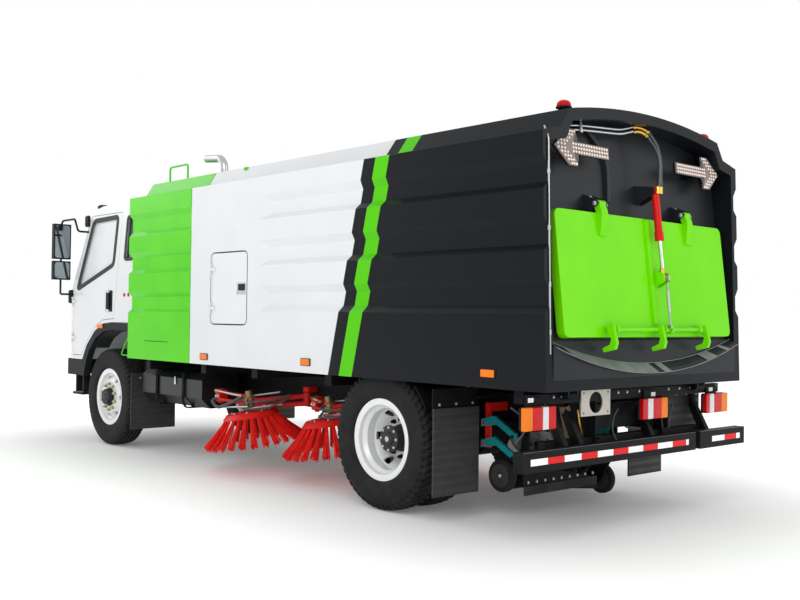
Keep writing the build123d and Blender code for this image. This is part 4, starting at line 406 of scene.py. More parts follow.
@dataclass(frozen=True)
class Finish:
    """A surface: what it is made of and how it was made. Sizes are in millimetres.

    The colour drifts slowly between two shades, the roughness and the bumps follow the relief's grain,
    and road dust lies on the part that is low: dust share = dust x (1.25 m - height) / 1.15 m x cloud.
    """

    name: str
    colour: str
    second: str                 # what the colour drifts to
    roughness: Pair
    metallic: float = 0.0
    specular: float = 0.5
    coat: float = 0.0
    drift_mm: float = 400.0     # size of the patches in which the colour drifts
    drift: float = 0.35
    grain_mm: float = 2.0       # size of the surface's bumps
    bump: float = 0.05
    relief: Relief = Relief.GRAIN
    dust: float = 0.0
    glow: float = 0.0
    slot: str = ""

    def colours(self, tree: Tree, place: Socket) -> Socket:
        """Build the base colour with its slow drift.

        Args:
            tree: the material's node tree.
            place: object coordinates.

        Returns:
            The colour.
        """
        patches = add(tree, "TexNoise",
                      {"Vector": place, "Scale": 1000 / self.drift_mm, "Detail": 4})
        share = add(tree, "MapRange", {0: patches.outputs[0], 1: 0.35, 2: 0.7, 4: self.drift})
        shades = {0: share.outputs[0], 6: linear(self.colour), 7: linear(self.second)}
        return add(tree, "Mix", shades, data_type="RGBA").outputs[2]

    def heights(self, tree: Tree, place: Socket) -> Socket:
        """Build the relief.

        Args:
            tree: the material's node tree.
            place: object coordinates.

        Returns:
            Its height, from 0 to 1.
        """
        scale = 1000 / self.grain_mm
        if self.relief is Relief.RIBS:
            ribs = {"Vector": place, "Scale": scale / 20, "Distortion": 0.4, "Detail": 1}
            return add(tree, "TexWave", ribs, bands_direction="Z").outputs["Fac"]
        if self.relief is Relief.FACETS:
            return add(tree, "TexVoronoi", {"Vector": place, "Scale": scale}).outputs["Distance"]
        if self.relief is Relief.BRUSHED:
            place = add(tree, "Mapping", {0: place, 3: (0.04, 1, 1)}).outputs[0]
        return add(tree, "TexNoise", {"Vector": place, "Scale": scale, "Detail": 3}).outputs[0]

    def dusted(self, tree: Tree, place: Socket, colour: Socket) -> Socket:
        """Lay clouds of road dust over a colour, thickest at the bottom.

        Args:
            tree: the material's node tree.
            place: object coordinates.
            colour: the clean colour.

        Returns:
            The dusty colour.
        """
        height = add(tree, "SeparateXYZ", {0: place}).outputs[2]
        low = add(tree, "MapRange", {0: height, 1: DUST_TOP, 2: DUST_FOOT, 4: self.dust})
        cloud = add(tree, "TexNoise", {"Vector": place, "Scale": 9.0, "Detail": 6})
        thick = add(tree, "MapRange", {0: cloud.outputs[0], 1: 0.38, 2: 0.66})
        share = add(tree, "Math", {0: low.outputs[0], 1: thick.outputs[0]}, operation="MULTIPLY")
        return add(tree, "Mix", {0: share.outputs[0], 6: colour, 7: linear(DUST)},
                   data_type="RGBA").outputs[2]

    def blank(self) -> tuple[bpy.types.Material, Socket]:
        """Start a material.

        Returns:
            The material, with no nodes but its coordinates, and their socket.
        """
        made = bpy.data.materials.new(self.name)
        made.use_nodes = True
        made.node_tree.nodes.clear()
        return made, add(made.node_tree, "TexCoord").outputs["Object"]

    def material(self) -> bpy.types.Material:
        """Build the node material, once for each name.

        Returns:
            The material.
        """
        if self.name in bpy.data.materials:
            return bpy.data.materials[self.name]
        made, place = self.blank()
        tree = made.node_tree
        colour = self.colours(tree, place)
        if self.dust:
            colour = self.dusted(tree, place, colour)
        height = self.heights(tree, place)
        low, high = self.roughness
        rough = add(tree, "MapRange", {0: height, 1: 0.3, 2: 0.7, 3: low, 4: high})
        bumps = add(tree, "Bump", {"Height": height, "Strength": self.bump,
                                             "Distance": self.grain_mm / 1000})
        shader = add(tree, "BsdfPrincipled", {
            "Base Color": colour, "Roughness": rough.outputs[0], "Metallic": self.metallic,
            "Normal": bumps.outputs[0], "Specular IOR Level": self.specular, "Coat Weight": self.coat,
            "Coat Roughness": 0.08})
        # Lamp lenses glow as lamps do; on reflective tape the glow is a painted shine.
        if self.glow:
            tree.links.new(colour, shader.inputs["Emission Color"])
            shader.inputs["Emission Strength"].default_value = self.glow
        add(tree, "OutputMaterial", {0: shader.outputs[0]})
        return made


@dataclass(frozen=True)
class StripedEnamel(Finish):
    """Hopper enamel: white ahead, black behind, with a green band, all laid on the slant.

    The edge between white and black is at x = foot - lean (z - foot height), and moves back by
    fold_run for each metre inwards once the side has folded over to the roof.
    """

    black: str = "#14171b"
    green: str = "#57c80c"
    axle: float = 0.0
    foot: Pair = (0.535, 0.957)
    lean: float = 0.2454
    half_width: float = 1.125
    fold: float = 2.535         # height at which the side folds inwards
    fold_run: float = 0.24
    band: Pair = (0.13, 0.28)   # green band behind the edge

    def colours(self, tree: Tree, place: Socket) -> Socket:
        """Choose white, black or green by the distance behind the slanting edge.

        Args:
            tree: the material's node tree.
            place: object coordinates.

        Returns:
            The base colour.
        """
        parts = add(tree, "SeparateXYZ", {0: place}).outputs
        made = {"x": parts[0], "y": parts[1], "z": parts[2]}
        steps = (
            ("level", "MINIMUM", "z", self.fold),
            ("rise", "SUBTRACT", "level", self.foot[1]),
            ("edge", "MULTIPLY_ADD", "rise", -self.lean, self.axle + self.foot[0]),
            ("out", "ABSOLUTE", "y"),
            ("inwards", "SUBTRACT", self.half_width, "out"),
            ("run", "MULTIPLY", "inwards", self.fold_run),
            ("above", "GREATER_THAN", "z", self.fold),
            ("shift", "MULTIPLY", "run", "above"),
            ("moved", "SUBTRACT", "edge", "shift"),
            ("behind", "SUBTRACT", "moved", "x"),
            ("dark", "GREATER_THAN", "behind", 0.0),
            ("past", "GREATER_THAN", "behind", self.band[0]),
            ("short", "LESS_THAN", "behind", self.band[1]),
            ("banded", "MULTIPLY", "past", "short"),
        )
        for name, operation, *values in steps:
            inputs = {number: made.get(value, value) for number, value in enumerate(values)}
            made[name] = add(tree, "Math", inputs, operation=operation).outputs[0]
        plain = Finish.colours(self, tree, place)
        shades = {0: made["dark"], 6: plain, 7: linear(self.black)}
        shaded = add(tree, "Mix", shades, data_type="RGBA").outputs[2]
        stripes = {0: made["banded"], 6: shaded, 7: linear(self.green)}
        return add(tree, "Mix", stripes, data_type="RGBA").outputs[2]


@dataclass(frozen=True)
class ClearGlass(Finish):
    """Float glass with a faint film of dust in its roughness."""

    def material(self) -> bpy.types.Material:
        """Build one see-through shader: the film makes it a little less sharp in patches.

        Returns:
            The material.
        """
        if self.name in bpy.data.materials:
            return bpy.data.materials[self.name]
        made, place = self.blank()
        tree = made.node_tree
        low, high = self.roughness
        film = self.heights(tree, place)
        rough = add(tree, "MapRange", {0: film, 1: 0.4, 2: 0.8, 3: low, 4: high})
        shader = add(tree, "BsdfPrincipled", {
            "Base Color": self.colours(tree, place), "Roughness": rough.outputs[0],
            "Transmission Weight": 0.92, "IOR": 1.45, "Coat Weight": 0.5, "Coat Roughness": 0.02})
        add(tree, "OutputMaterial", {0: shader.outputs[0]})
        return made


# Sprayed white: even and bright, its soft gloss shows the pressed grooves.
WHITE = Finish("white_enamel", "#e4e6e8", "#d6d9dc", (0.18, 0.28), coat=0.3, bump=0.02, drift=0.3,
               dust=0.08, slot="white_paint")
# The same white with black and green foil over it.
STRIPED = StripedEnamel("hopper_enamel", "#e4e6e8", "#d6d9dc", (0.2, 0.3), specular=0.1, bump=0.02,
                        drift=0.3, slot="white_paint")
# The tail panel's satin black, a little grey.
SATIN = Finish("satin_black", "#212428", "#282b30", (0.32, 0.42), specular=0.14, bump=0.03,
               slot="black_paint")
# Lime enamel: strong and clean, a shade deeper in its drift.
GREEN = Finish("green_enamel", "#5ad404", "#4cc402", (0.16, 0.26), specular=0.18, bump=0.03, drift=0.5,
               slot="green_paint")
# Hatch enamel: a yellower, fresher green.
HATCH_GREEN = Finish("hatch_enamel", "#74dc06", "#68d004", (0.2, 0.32), specular=0.12, bump=0.03, drift=0.5,
                     slot="green_paint")
# Red enamel on the brush gear: chipped, dusty low down.
RED = Finish("red_enamel", "#d0170f", "#a8120d", (0.28, 0.45), specular=0.2, grain_mm=3, bump=0.06,
             dust=0.06, slot="red_paint")
# Brush rings: a fresher red moulded plate.
RED_PLATE = Finish("red_moulding", "#dc1a14", "#c4150e", (0.3, 0.45), specular=0.2, grain_mm=3, bump=0.05,
                   dust=0.03, slot="red_paint")
# Teal enamel of the nozzle's arms, thinly sprayed.
TEAL = Finish("teal_enamel", "#0a8388", "#096a70", (0.28, 0.45), specular=0.2, grain_mm=3, bump=0.06,
              dust=0.05, slot="teal_paint")
# Chassis paint: dull black, dusty.
CHASSIS = Finish("chassis_enamel", "#101113", "#18191b", (0.42, 0.62), specular=0.1, grain_mm=3, bump=0.12,
                 dust=0.02, slot="chassis_black")
# Sand-cast iron: grey, rough and slightly oily.
CAST = Finish("cast_iron", "#343332", "#262423", (0.55, 0.75), metallic=0.4, grain_mm=2.5, bump=0.3,
              dust=0.12, slot="cast_grey")
# Zinc plate on bolts: pale, with small spangles.
ZINC = Finish("zinc_flake", "#c2c4c6", "#a4a6a8", (0.28, 0.45), metallic=0.9, grain_mm=6, bump=0.06,
              drift_mm=30, slot="zinc_plate")
# Yellow chromate on the front wheel nuts.
CHROMATE = Finish("yellow_chromate", "#b6ab74", "#9c9160", (0.3, 0.45), metallic=0.8, grain_mm=4, bump=0.06,
                  drift_mm=20)
# Cast aluminium: pale and faintly sparkling.
ALUMINIUM = Finish("cast_aluminium", "#b9b4ac", "#a5a098", (0.38, 0.55), metallic=0.7, bump=0.12,
                   drift_mm=60, slot="zinc_plate")
# Drawn steel pipe, scratched along it.
STEEL = Finish("drawn_steel", "#b4b6b8", "#8f9092", (0.2, 0.36), metallic=1.0, grain_mm=1.5, bump=0.05,
               relief=Relief.BRUSHED, slot="pipe_steel")
# Hard chrome on the rams: a clean mirror.
CHROME = Finish("hard_chrome", "#d6d8da", "#c8cacc", (0.06, 0.12), metallic=1.0, grain_mm=1, bump=0.01,
                slot="chrome_rod")
# Turned brass of the unions and elbows.
BRASS = Finish("turned_brass", "#c9a04a", "#a67f35", (0.22, 0.36), metallic=1.0, grain_mm=1.5, bump=0.05)
# Bronze-green anodised motor bodies.
MOTOR = Finish("motor_casting", "#8a7f58", "#6b6346", (0.32, 0.5), metallic=0.7, bump=0.15)
# Tyre rubber: near black, dull, greyed by dust.
TYRE = Finish("moulded_tyre", "#1a1b1c", "#262728", (0.62, 0.82), specular=0.15, bump=0.15, dust=0.05,
              slot="tyre_rubber")
# Flap rubber: grey, with fine level ribs.
RUBBER = Finish("ribbed_rubber", "#363636", "#2b2b2c", (0.5, 0.75), specular=0.3, grain_mm=9, bump=0.3,
                relief=Relief.RIBS, dust=0.05, slot="grey_rubber")
# Skirt rubber: paler where it is worn.
SKIRT = Finish("skirt_rubber", "#2b2b2b", "#1f1f20", (0.6, 0.8), specular=0.2, grain_mm=3, bump=0.12,
               dust=0.08, slot="grey_rubber")
# Silver wheel lacquer, faintly metallic.
RIM = Finish("silver_lacquer", "#eceded", "#dcdede", (0.24, 0.36), metallic=0.1, bump=0.04, coat=0.2,
             dust=0.03, slot="rim_silver")
# Moulded grey trim with a fine leather grain.
TRIM = Finish("moulded_trim", "#1d1f22", "#17191b", (0.45, 0.62), specular=0.14, grain_mm=0.9, bump=0.12,
              dust=0.02, slot="trim_grey")
# Fuel tank: dark enamel over rolled sheet.
TANK = Finish("tank_enamel", "#131416", "#1b1c1e", (0.22, 0.38), specular=0.3, grain_mm=3, bump=0.06,
              dust=0.03, slot="tank_paint")
# Hose rubber: black and dull.
HOSE = Finish("hose_rubber", "#131416", "#1d1e20", (0.45, 0.65), bump=0.1)
# Grey sleeve over the hoses of the brush gear.
SLEEVE = Finish("woven_sleeve", "#4d4f50", "#3d3f40", (0.6, 0.8), bump=0.4, relief=Relief.BRUSHED)
# Seat cloth: a dark weave.
FABRIC = Finish("seat_cloth", "#30333a", "#25272d", (0.85, 0.95), grain_mm=1.2, bump=0.4,
                slot="seat_fabric")
# Cab plastic: dull grey with a fine grain.
CABIN = Finish("cabin_abs", "#3b3d41", "#2f3134", (0.5, 0.7), grain_mm=1.2, bump=0.15, slot="cab_plastic")
# Bristle: red plastic, paler and darker from strand to strand.
BRISTLE = Finish("bristle_plastic", "#f5241a", "#cc140c", (0.45, 0.65), specular=0.15, grain_mm=8, bump=0.2,
                 drift_mm=60, drift=0.8, slot="red_bristle")
# Red lens with small moulded cells.
RED_LENS = Finish("red_acrylic", "#cc0c10", "#a8080b", (0.1, 0.18), grain_mm=7, bump=0.25,
                  relief=Relief.FACETS, specular=0.25, glow=0.05, slot="red_lens")
# Amber lens: the same moulding in orange.
AMBER_LENS = Finish("amber_acrylic", "#ee7c06", "#cf6204", (0.1, 0.18), grain_mm=7, bump=0.25,
                    relief=Relief.FACETS, specular=0.25, glow=0.06)
# Clear lens: nearly white from its reflector.
CLEAR_LENS = Finish("clear_acrylic", "#dde0e2", "#c8ccd0", (0.06, 0.14), grain_mm=8, bump=0.3,
                    relief=Relief.FACETS, coat=0.6, slot="lamp_clear")
# Arrow boards: warm grey housings.
LED_BOARD = Finish("lamp_board", "#857b77", "#756b67", (0.3, 0.45), specular=0.25, grain_mm=6, bump=0.1,
                   slot="lamp_housing")
# Small warm white lamps in their resin domes.
LED = Finish("led_resin", "#f4e2d8", "#e2c9be", (0.12, 0.22), grain_mm=5, bump=0.1, glow=0.08)
# Reflective sheet, white: small bright cells, and a faint glow that is a painted shine.
WHITE_TAPE = Finish("white_tape", "#f2f4f4", "#e4e6e6", (0.3, 0.4), grain_mm=4, bump=0.15,
                    relief=Relief.FACETS, glow=0.12)
# Reflective sheet, red, with a faint glow that is a painted shine.
RED_TAPE = Finish("red_tape", "#dc0f12", "#c80c0e", (0.3, 0.4), specular=0.2, grain_mm=4, bump=0.15,
                  relief=Relief.FACETS, glow=0.1)
# Bare stainless, brushed along it; on the catch tray's lip it is laid in lengths as a painted sheen.
BARE = Finish("brushed_stainless", "#8a8b8d", "#6c6d6f", (0.35, 0.55), metallic=0.4, grain_mm=1.5,
              bump=0.08, relief=Relief.BRUSHED, drift_mm=120, drift=0.8)
# Cork-brown duct cloth behind the posts.
DUCT = Finish("duct_canvas", "#7d6c4e", "#5f523b", (0.8, 0.95), bump=0.35)
# Float glass: a faint grey-green tint, wavy over long distances.
GLASS = ClearGlass("cab_float_glass", "#8b979a", "#7f8b8e", (0.02, 0.06), grain_mm=160, slot="clear_glass")
# Silvered glass of the mirrors: a cool mirror.
MIRROR = Finish("silvered_glass", "#9aa4a8", "#8a9599", (0.03, 0.06), metallic=1.0, grain_mm=40, bump=0.0)

# The frame's nodes by finish; twins are named without their side.
FINISHED = {
    STRIPED: "hopper_body",
    CHASSIS: "chassis_frame rear_bumper leaf_springs front_axle rear_axle rear_mudguards lift_barrel "
             "suction_nozzle",
    RED_LENS: "tail_lamps",
    ALUMINIUM: "hose_flange",
    CAST: "engine_block sweeper_engine knuckle",
    TYRE: "tyre_front tyre_rear caster",
    RIM: "rim_front rim_rear",
    TANK: "fuel_tank",
    RUBBER: "mudflaps",
    GREEN: "front_cabinet",
    HATCH_GREEN: "rear_hatch lock_shaft",
    WHITE: "access_door cab_shell cab_door",
    SATIN: "hopper_tail",
    RED: "hatch_barrel tool_hangers brush_arm_front brush_arm_rear",
    CHROME: "hatch_rod lift_rod",
    LED_BOARD: "signal_lamps",
    TRIM: "mirrors cab_trim",
    GLASS: "cab_glass",
    CLEAR_LENS: "head_lamps",
    FABRIC: "seats",
    CABIN: "dashboard steering_wheel",
    STEEL: "exhaust_stack rear_pipes",
    TEAL: "nozzle_arm_upper nozzle_arm_lower",
    BRISTLE: "brush_front brush_rear",
}


def linked(name: str, data: bpy.types.ID) -> bpy.types.Object:
    """Put data into the scene as an object.

    Args:
        name: the object's name.
        data: a mesh, lamp or camera.

    Returns:
        The object.
    """
    made = bpy.data.objects.new(name, data)
    bpy.context.scene.collection.objects.link(made)
    return made


def make(name: str, shells: Sequence[Shell], finish: Finish, body: str, replaced: Sequence[str] = (),
         smooth_deg: float = 35.0) -> bpy.types.Object:
    """Turn surfaces into one finished piece that rides on a body.

    Args:
        name: the piece's name.
        shells: its surfaces, in the row's frame.
        finish: what it is made of.
        body: the body it rides on.
        replaced: nodes of the frame that it stands for.
        smooth_deg: edges that turn more than this stay sharp.

    Returns:
        The object, at the origin, with its place in its mesh.
    """
    shell = joined(shells)
    mesh = bpy.data.meshes.new(name)
    mesh.vertices.add(len(shell.points))
    mesh.vertices.foreach_set("co", shell.points.astype(np.float32).ravel())
    corners = np.concatenate([shell.quads.ravel(), shell.triangles.ravel()])
    counts = np.concatenate([np.full(len(shell.quads), 4), np.full(len(shell.triangles), 3)])
    mesh.loops.add(len(corners))
    mesh.loops.foreach_set("vertex_index", corners.astype(np.int32))
    mesh.polygons.add(len(counts))
    mesh.polygons.foreach_set("loop_start", np.concatenate([[0], np.cumsum(counts)[:-1]]).astype(np.int32))
    mesh.update(calc_edges=True)
    mesh.validate()
    mesh.shade_smooth()
    mesh.set_sharp_from_angle(angle=math.radians(smooth_deg))
    mesh.materials.append(finish.material())
    made = linked(name, mesh)
    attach(made, body)
    if replaced:
        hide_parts(*replaced)
    LOG.info("%s: %d faces on %s", name, len(counts), body)
    return made


TAIL_SLOPE = math.radians(6.8)
TAIL_ORIGIN = (-1.4106, 2.072)      # ahead of the rear axle, height
TAIL_UP = (math.sin(TAIL_SLOPE), 0.0, math.cos(TAIL_SLOPE))
TAIL_OUT = (-math.cos(TAIL_SLOPE), 0.0, math.sin(TAIL_SLOPE))


@dataclass
class Places:
    """Where the truck's main stations lie, read from the frame."""

    rear_axle: float
    front_axle: float
    axle_height: float = 0.51

    @classmethod
    def from_frame(cls) -> "Places":
        """Take the axles' places from the middles of the tyres."""
        rear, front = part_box("tyre_rear_left"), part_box("tyre_front_left")
        return cls((rear[0].x + rear[1].x) / 2, (front[0].x + front[1].x) / 2)

    def fore(self, distance: float) -> float:
        """X of a place so far ahead of the rear axle."""
        return self.rear_axle + distance

    def at(self, ahead: float, y: float, z: float) -> Point:
        """A point given by its distance ahead of the rear axle."""
        return self.rear_axle + ahead, y, z

    def tail(self, up: float, out: float, y: float = 0.0) -> Point:
        """Find a point on or behind the hopper's rear panel.

        Args:
            up: distance up the panel's slope.
            out: distance out from the panel.
            y: distance to the left.

        Returns:
            The point.
        """
        x, z = self.fore(TAIL_ORIGIN[0]), TAIL_ORIGIN[1]
        return x + up * TAIL_UP[0] + out * TAIL_OUT[0], y, z + up * TAIL_UP[2] + out * TAIL_OUT[2]

    def blocks(self, rows: Blocks, side: int = 1, wall: float = 0.0) -> list[Shell]:
        """Build boxes on a side wall, mirrored on the right.

        Args:
            rows: two corners of each box, each ahead of the rear axle, out from the wall and up; its bevel.
            side: +1 for left.
            wall: distance of the wall from the middle.

        Returns:
            One surface for each box.
        """
        return [soft_box(self.at(low[0], side * (wall + low[1]), low[2]),
                         self.at(high[0], side * (wall + high[1]), high[2]), bevel)
                for low, high, bevel in rows]

    def bolts(self, ahead: float, across: Sequence[float], z: float, radius: float) -> list[Shell]:
        """Set bolts side by side on a face that looks astern.

        Args:
            ahead: the face's distance ahead of the rear axle.
            across: the bolts' distances to the left.
            z: their height.
            radius: a bolt's radius.

        Returns:
            One surface for each bolt.
        """
        return [bolt(self.at(ahead, y, z), ASTERN, radius) for y in across]

    def line(self, route: Sequence[Point], radius: float, bend: float = 0.06, steps: int = 8) -> Shell:
        """Lay a thin hose or wire with rounded corners.

        Args:
            route: its corners, measured from the rear axle.
            radius: the hose's radius.
            bend: how far from a corner its curve starts.
            steps: pieces in each curve.

        Returns:
            The closed surface.
        """
        return tube(bent([self.at(*spot) for spot in route], bend, steps), radius, 8)


@dataclass(frozen=True)
class Pattern:
    """Grooves cut into a tread, measured from the tyre's middle plane in metres."""

    slant: float    # radians of the cuts' wave for each metre across
    straight: Row   # middles of the straight grooves
    half: float     # half the width of a straight groove
    level: float    # a cut is where the wave is above this
    inner: float    # the cuts start this far out
    low: float      # and at this radius


class Tread(Enum):
    """Ribs on the steered wheels, lugs on the driven ones."""

    RIB = Pattern(39, (0.022, 0.062), 0.005, 0.72, 0.07, 0.478)
    LUG = Pattern(78, (0.017,), 0.0042, 0.35, 0.019, 0.468)


# From the bead to the edge of the tread: distance across and radius.
TYRE_WALL = (
    (-0.096, 0.2985), (-0.106, 0.302), (-0.112, 0.312), (-0.116, 0.330), (-0.118, 0.345), (-0.119, 0.360),
    (-0.120, 0.388), (-0.1195, 0.410), (-0.118, 0.430), (-0.1165, 0.442), (-0.115, 0.452), (-0.113, 0.462),
    (-0.111, 0.470), (-0.106, 0.486), (-0.100, 0.4955), (-0.096, 0.499))


@dataclass
class Tyre:
    """A moulded tyre, in metres."""

    middle: Point
    tread: Tread
    radius: float = 0.510
    camber: float = 0.010               # how much lower the tread's edge lies than its middle
    crown: float = 0.094                # half width of the flat of the tread
    depth: float = 0.013
    groove_foot: float = 0.49           # radius above which the straight grooves are cut
    undercut: float = 0.006             # how far a cut draws the shoulder in
    ring_height: float = 0.0022
    low_ring: Pair = (0.330, 0.004)     # radius of a ring on the wall, half its width
    high_ring: Pair = (0.442, 0.006)
    pitches: int = 54
    steps_each: int = 8                 # faces round the tyre in each pitch

    def surface(self) -> Shell:
        """Worked-out tread and walls.

        The section runs from bead to bead. At each angle the radius is the section's own less the groove
        depth wherever the pattern says groove: straight grooves at fixed places across, and slanting cuts
        where sin(pitches x angle + slant x place) is high. Shallow rings stand on the walls.

        Returns:
            The surface, closed across the bead.
        """
        pattern = self.tread.value
        wall = np.array(TYRE_WALL)
        across = np.linspace(-self.crown, self.crown, 48)
        crown = np.stack([across, self.radius - self.camber * (np.abs(across) / self.crown) ** 3], -1)
        side, height = np.concatenate([wall, crown, wall[::-1] * (-1, 1)]).T
        out = np.abs(side)
        angle = np.linspace(0, 2 * np.pi, self.pitches * self.steps_each, endpoint=False)[:, None]
        wave = np.sin(self.pitches * angle + pattern.slant * out)
        straight = np.any([np.abs(out - place) < pattern.half for place in pattern.straight], 0)
        cut = (wave > pattern.level) & (out > pattern.inner) & (height > pattern.low)
        groove = (straight & (height > self.groove_foot)) | cut
        rings = [np.abs(height - at) < half for at, half in (self.low_ring, self.high_ring)]
        radius = height - self.depth * groove
        lift = self.ring_height * np.any(rings, 0)
        shoulder = cut & (height < TYRE_WALL[-1][1])
        reach = side + np.sign(side) * lift - np.sign(side) * self.undercut * shoulder
        x, y, z = self.middle
        points = np.stack([x + radius * np.sin(angle), y + reach + 0 * angle, z + radius * np.cos(angle)], -1)
        return grid(points[:, ::-1], loop=True)


# Turned parts: distance out from the wheel's face and radius.
HUB_CAP = ((0.004, 0.098), (0.012, 0.098), (0.014, 0.086), (0.052, 0.082), (0.06, 0.077), (0.0605, 0.046),
           (0.064, 0.042), (0.067, 0.03))
REAR_HUB = ((0.03, 0.1), (0.05, 0.1), (0.055, 0.09), (0.15, 0.088), (0.152, 0.098), (0.166, 0.098),
            (0.17, 0.092), (0.171, 0.05), (0.182, 0.044), (0.186, 0.03))
SHAFT_CAP = ((0.185, 0.018), (0.188, 0.02), (0.190, 0.014))


@dataclass
class Wheels:
    """All truck wheels' fine pieces: tyres, nuts, caps and hubs."""

    places: Places
    front_tyre: float = 0.86
    rear_tyres: Pair = (0.665, 0.955)
    front_face: float = 0.952           # outer face of a front wheel's disc
    rear_face: float = 0.81             # where the twin discs meet
    rear_disc: float = 0.038            # from there to the face that the nuts sit on
    circle: float = 0.1375
    nuts: int = 10
    cap_screws: Pair = (0.062, 0.0602)  # circle, distance out
    shaft_studs: Pair = (0.082, 0.1695)
    tread_sharp_deg: float = 25.0

    def hardware(self, middle: Point, side: int, height: float) -> list[Shell]:
        """Nuts on their studs round a hub: a hexagon head on a collar, and the stud's end.

        Args:
            middle: centre of the face that the nuts sit on.
            side: +1 where the face looks to the left.
            height: how far a nut stands out.

        Returns:
            One surface for each nut and stud.
        """
        head = [(0, 0.019), (0.005, 0.019), (0.0055, 0.0155), (height, 0.0155), (height + 0.002, 0.013)]
        stud = [(height, 0.009), (height + 0.012, 0.009), (height + 0.014, 0.007)]
        made = []
        for turn in turns(self.nuts):
            centre = middle + polar(turn, self.circle, UPRIGHT, AHEAD)
            made += [lathe(head, centre, (0, side, 0), 6), lathe(stud, centre, (0, side, 0), 10)]
        return made

    def heads(self, face: Point, side: int, place: Pair, count: int,
              radius: float) -> list[Shell]:
        """Small bolts round a cap.

        Args:
            face: centre of the wheel's face.
            side: +1 where the face looks to the left.
            place: the bolts' circle, and how far out from the face they sit.
            count: how many bolts.
            radius: a bolt's radius.

        Returns:
            One surface for each bolt.
        """
        circle, out = place
        return [bolt(np.array(face) + (0, side * out, 0) + polar(turn, circle, UPRIGHT, AHEAD),
                     (0, side, 0), radius) for turn in turns(count)]

    def front(self, name: str, side: int) -> None:
        """A front wheel: ribbed tyre, straw-coloured nuts and a black hub cap with its screws.

        Args:
            name: the side's name.
            side: +1 for left.
        """
        p, body = self.places, f"front_wheel_{name}"
        tyre = Tyre((p.front_axle, side * self.front_tyre, p.axle_height), Tread.RIB).surface()
        make(f"tyre_front_{name}_tread", [tyre], TYRE, body, [f"tyre_front_{name}"], self.tread_sharp_deg)
        face = (p.front_axle, side * self.front_face, p.axle_height)
        make(f"wheel_nuts_front_{name}", self.hardware(face, side, 0.026), CHROMATE, body)
        cap = lathe(HUB_CAP, face, (0, side, 0), 48)
        screws = self.heads(face, side, self.cap_screws, 6, 0.006)
        make(f"hub_cap_front_{name}", [cap, *screws], HOSE, body)

    def rear(self, name: str, side: int) -> None:
        """A twin rear wheel: lugged tyres, a black hub and its cap, studs round it.

        Args:
            name: the side's name.
            side: +1 for left.
        """
        p, body = self.places, f"rear_wheel_{name}"
        tyres = [Tyre((p.rear_axle, side * y, p.axle_height), Tread.LUG).surface() for y in self.rear_tyres]
        make(f"tyre_rear_{name}_tread", tyres, TYRE, body, [f"tyre_rear_{name}"], self.tread_sharp_deg)
        face = (p.rear_axle, side * self.rear_face, p.axle_height)
        out = (face[0], face[1] + side * self.rear_disc, face[2])
        make(f"wheel_nuts_rear_{name}", self.hardware(out, side, 0.024), CHASSIS, body)
        make(f"hub_rear_{name}", [lathe(REAR_HUB, face, (0, side, 0), 48)], HOSE, body)
        studs = self.heads(face, side, self.shaft_studs, 8, 0.008)
        cap = lathe(SHAFT_CAP, face, (0, side, 0), 16)
        make(f"axle_studs_rear_{name}", [*studs, cap], ZINC, body)

    def build(self) -> None:
        """All four wheel stations."""
        for name, side in SIDES:
            self.front(name, side)
            self.rear(name, side)


# Turned parts: distance up the brush's shaft and radius.
MOTOR_CASING = ((0.012, 0.047), (0.018, 0.05), (0.036, 0.05), (0.038, 0.0465), (0.095, 0.0465),
                (0.097, 0.05), (0.112, 0.05), (0.118, 0.046), (0.135, 0.042), (0.139, 0.033), (0.182, 0.031),
                (0.184, 0.026))
BRUSH_BAND = ((-0.048, 0.252), (-0.044, 0.254), (-0.004, 0.22), (0, 0.212), (0, 0.11))
BRUSH_HUB = ((-0.002, 0.12), (0.003, 0.12), (0.0045, 0.116), (0.0048, 0.05))
# The arm's top plate: distance back from the motor and to its outer side.
ARM_PLATE = ((-0.03, -0.032), (0.30, -0.02), (0.30, 0.02), (-0.03, 0.032))


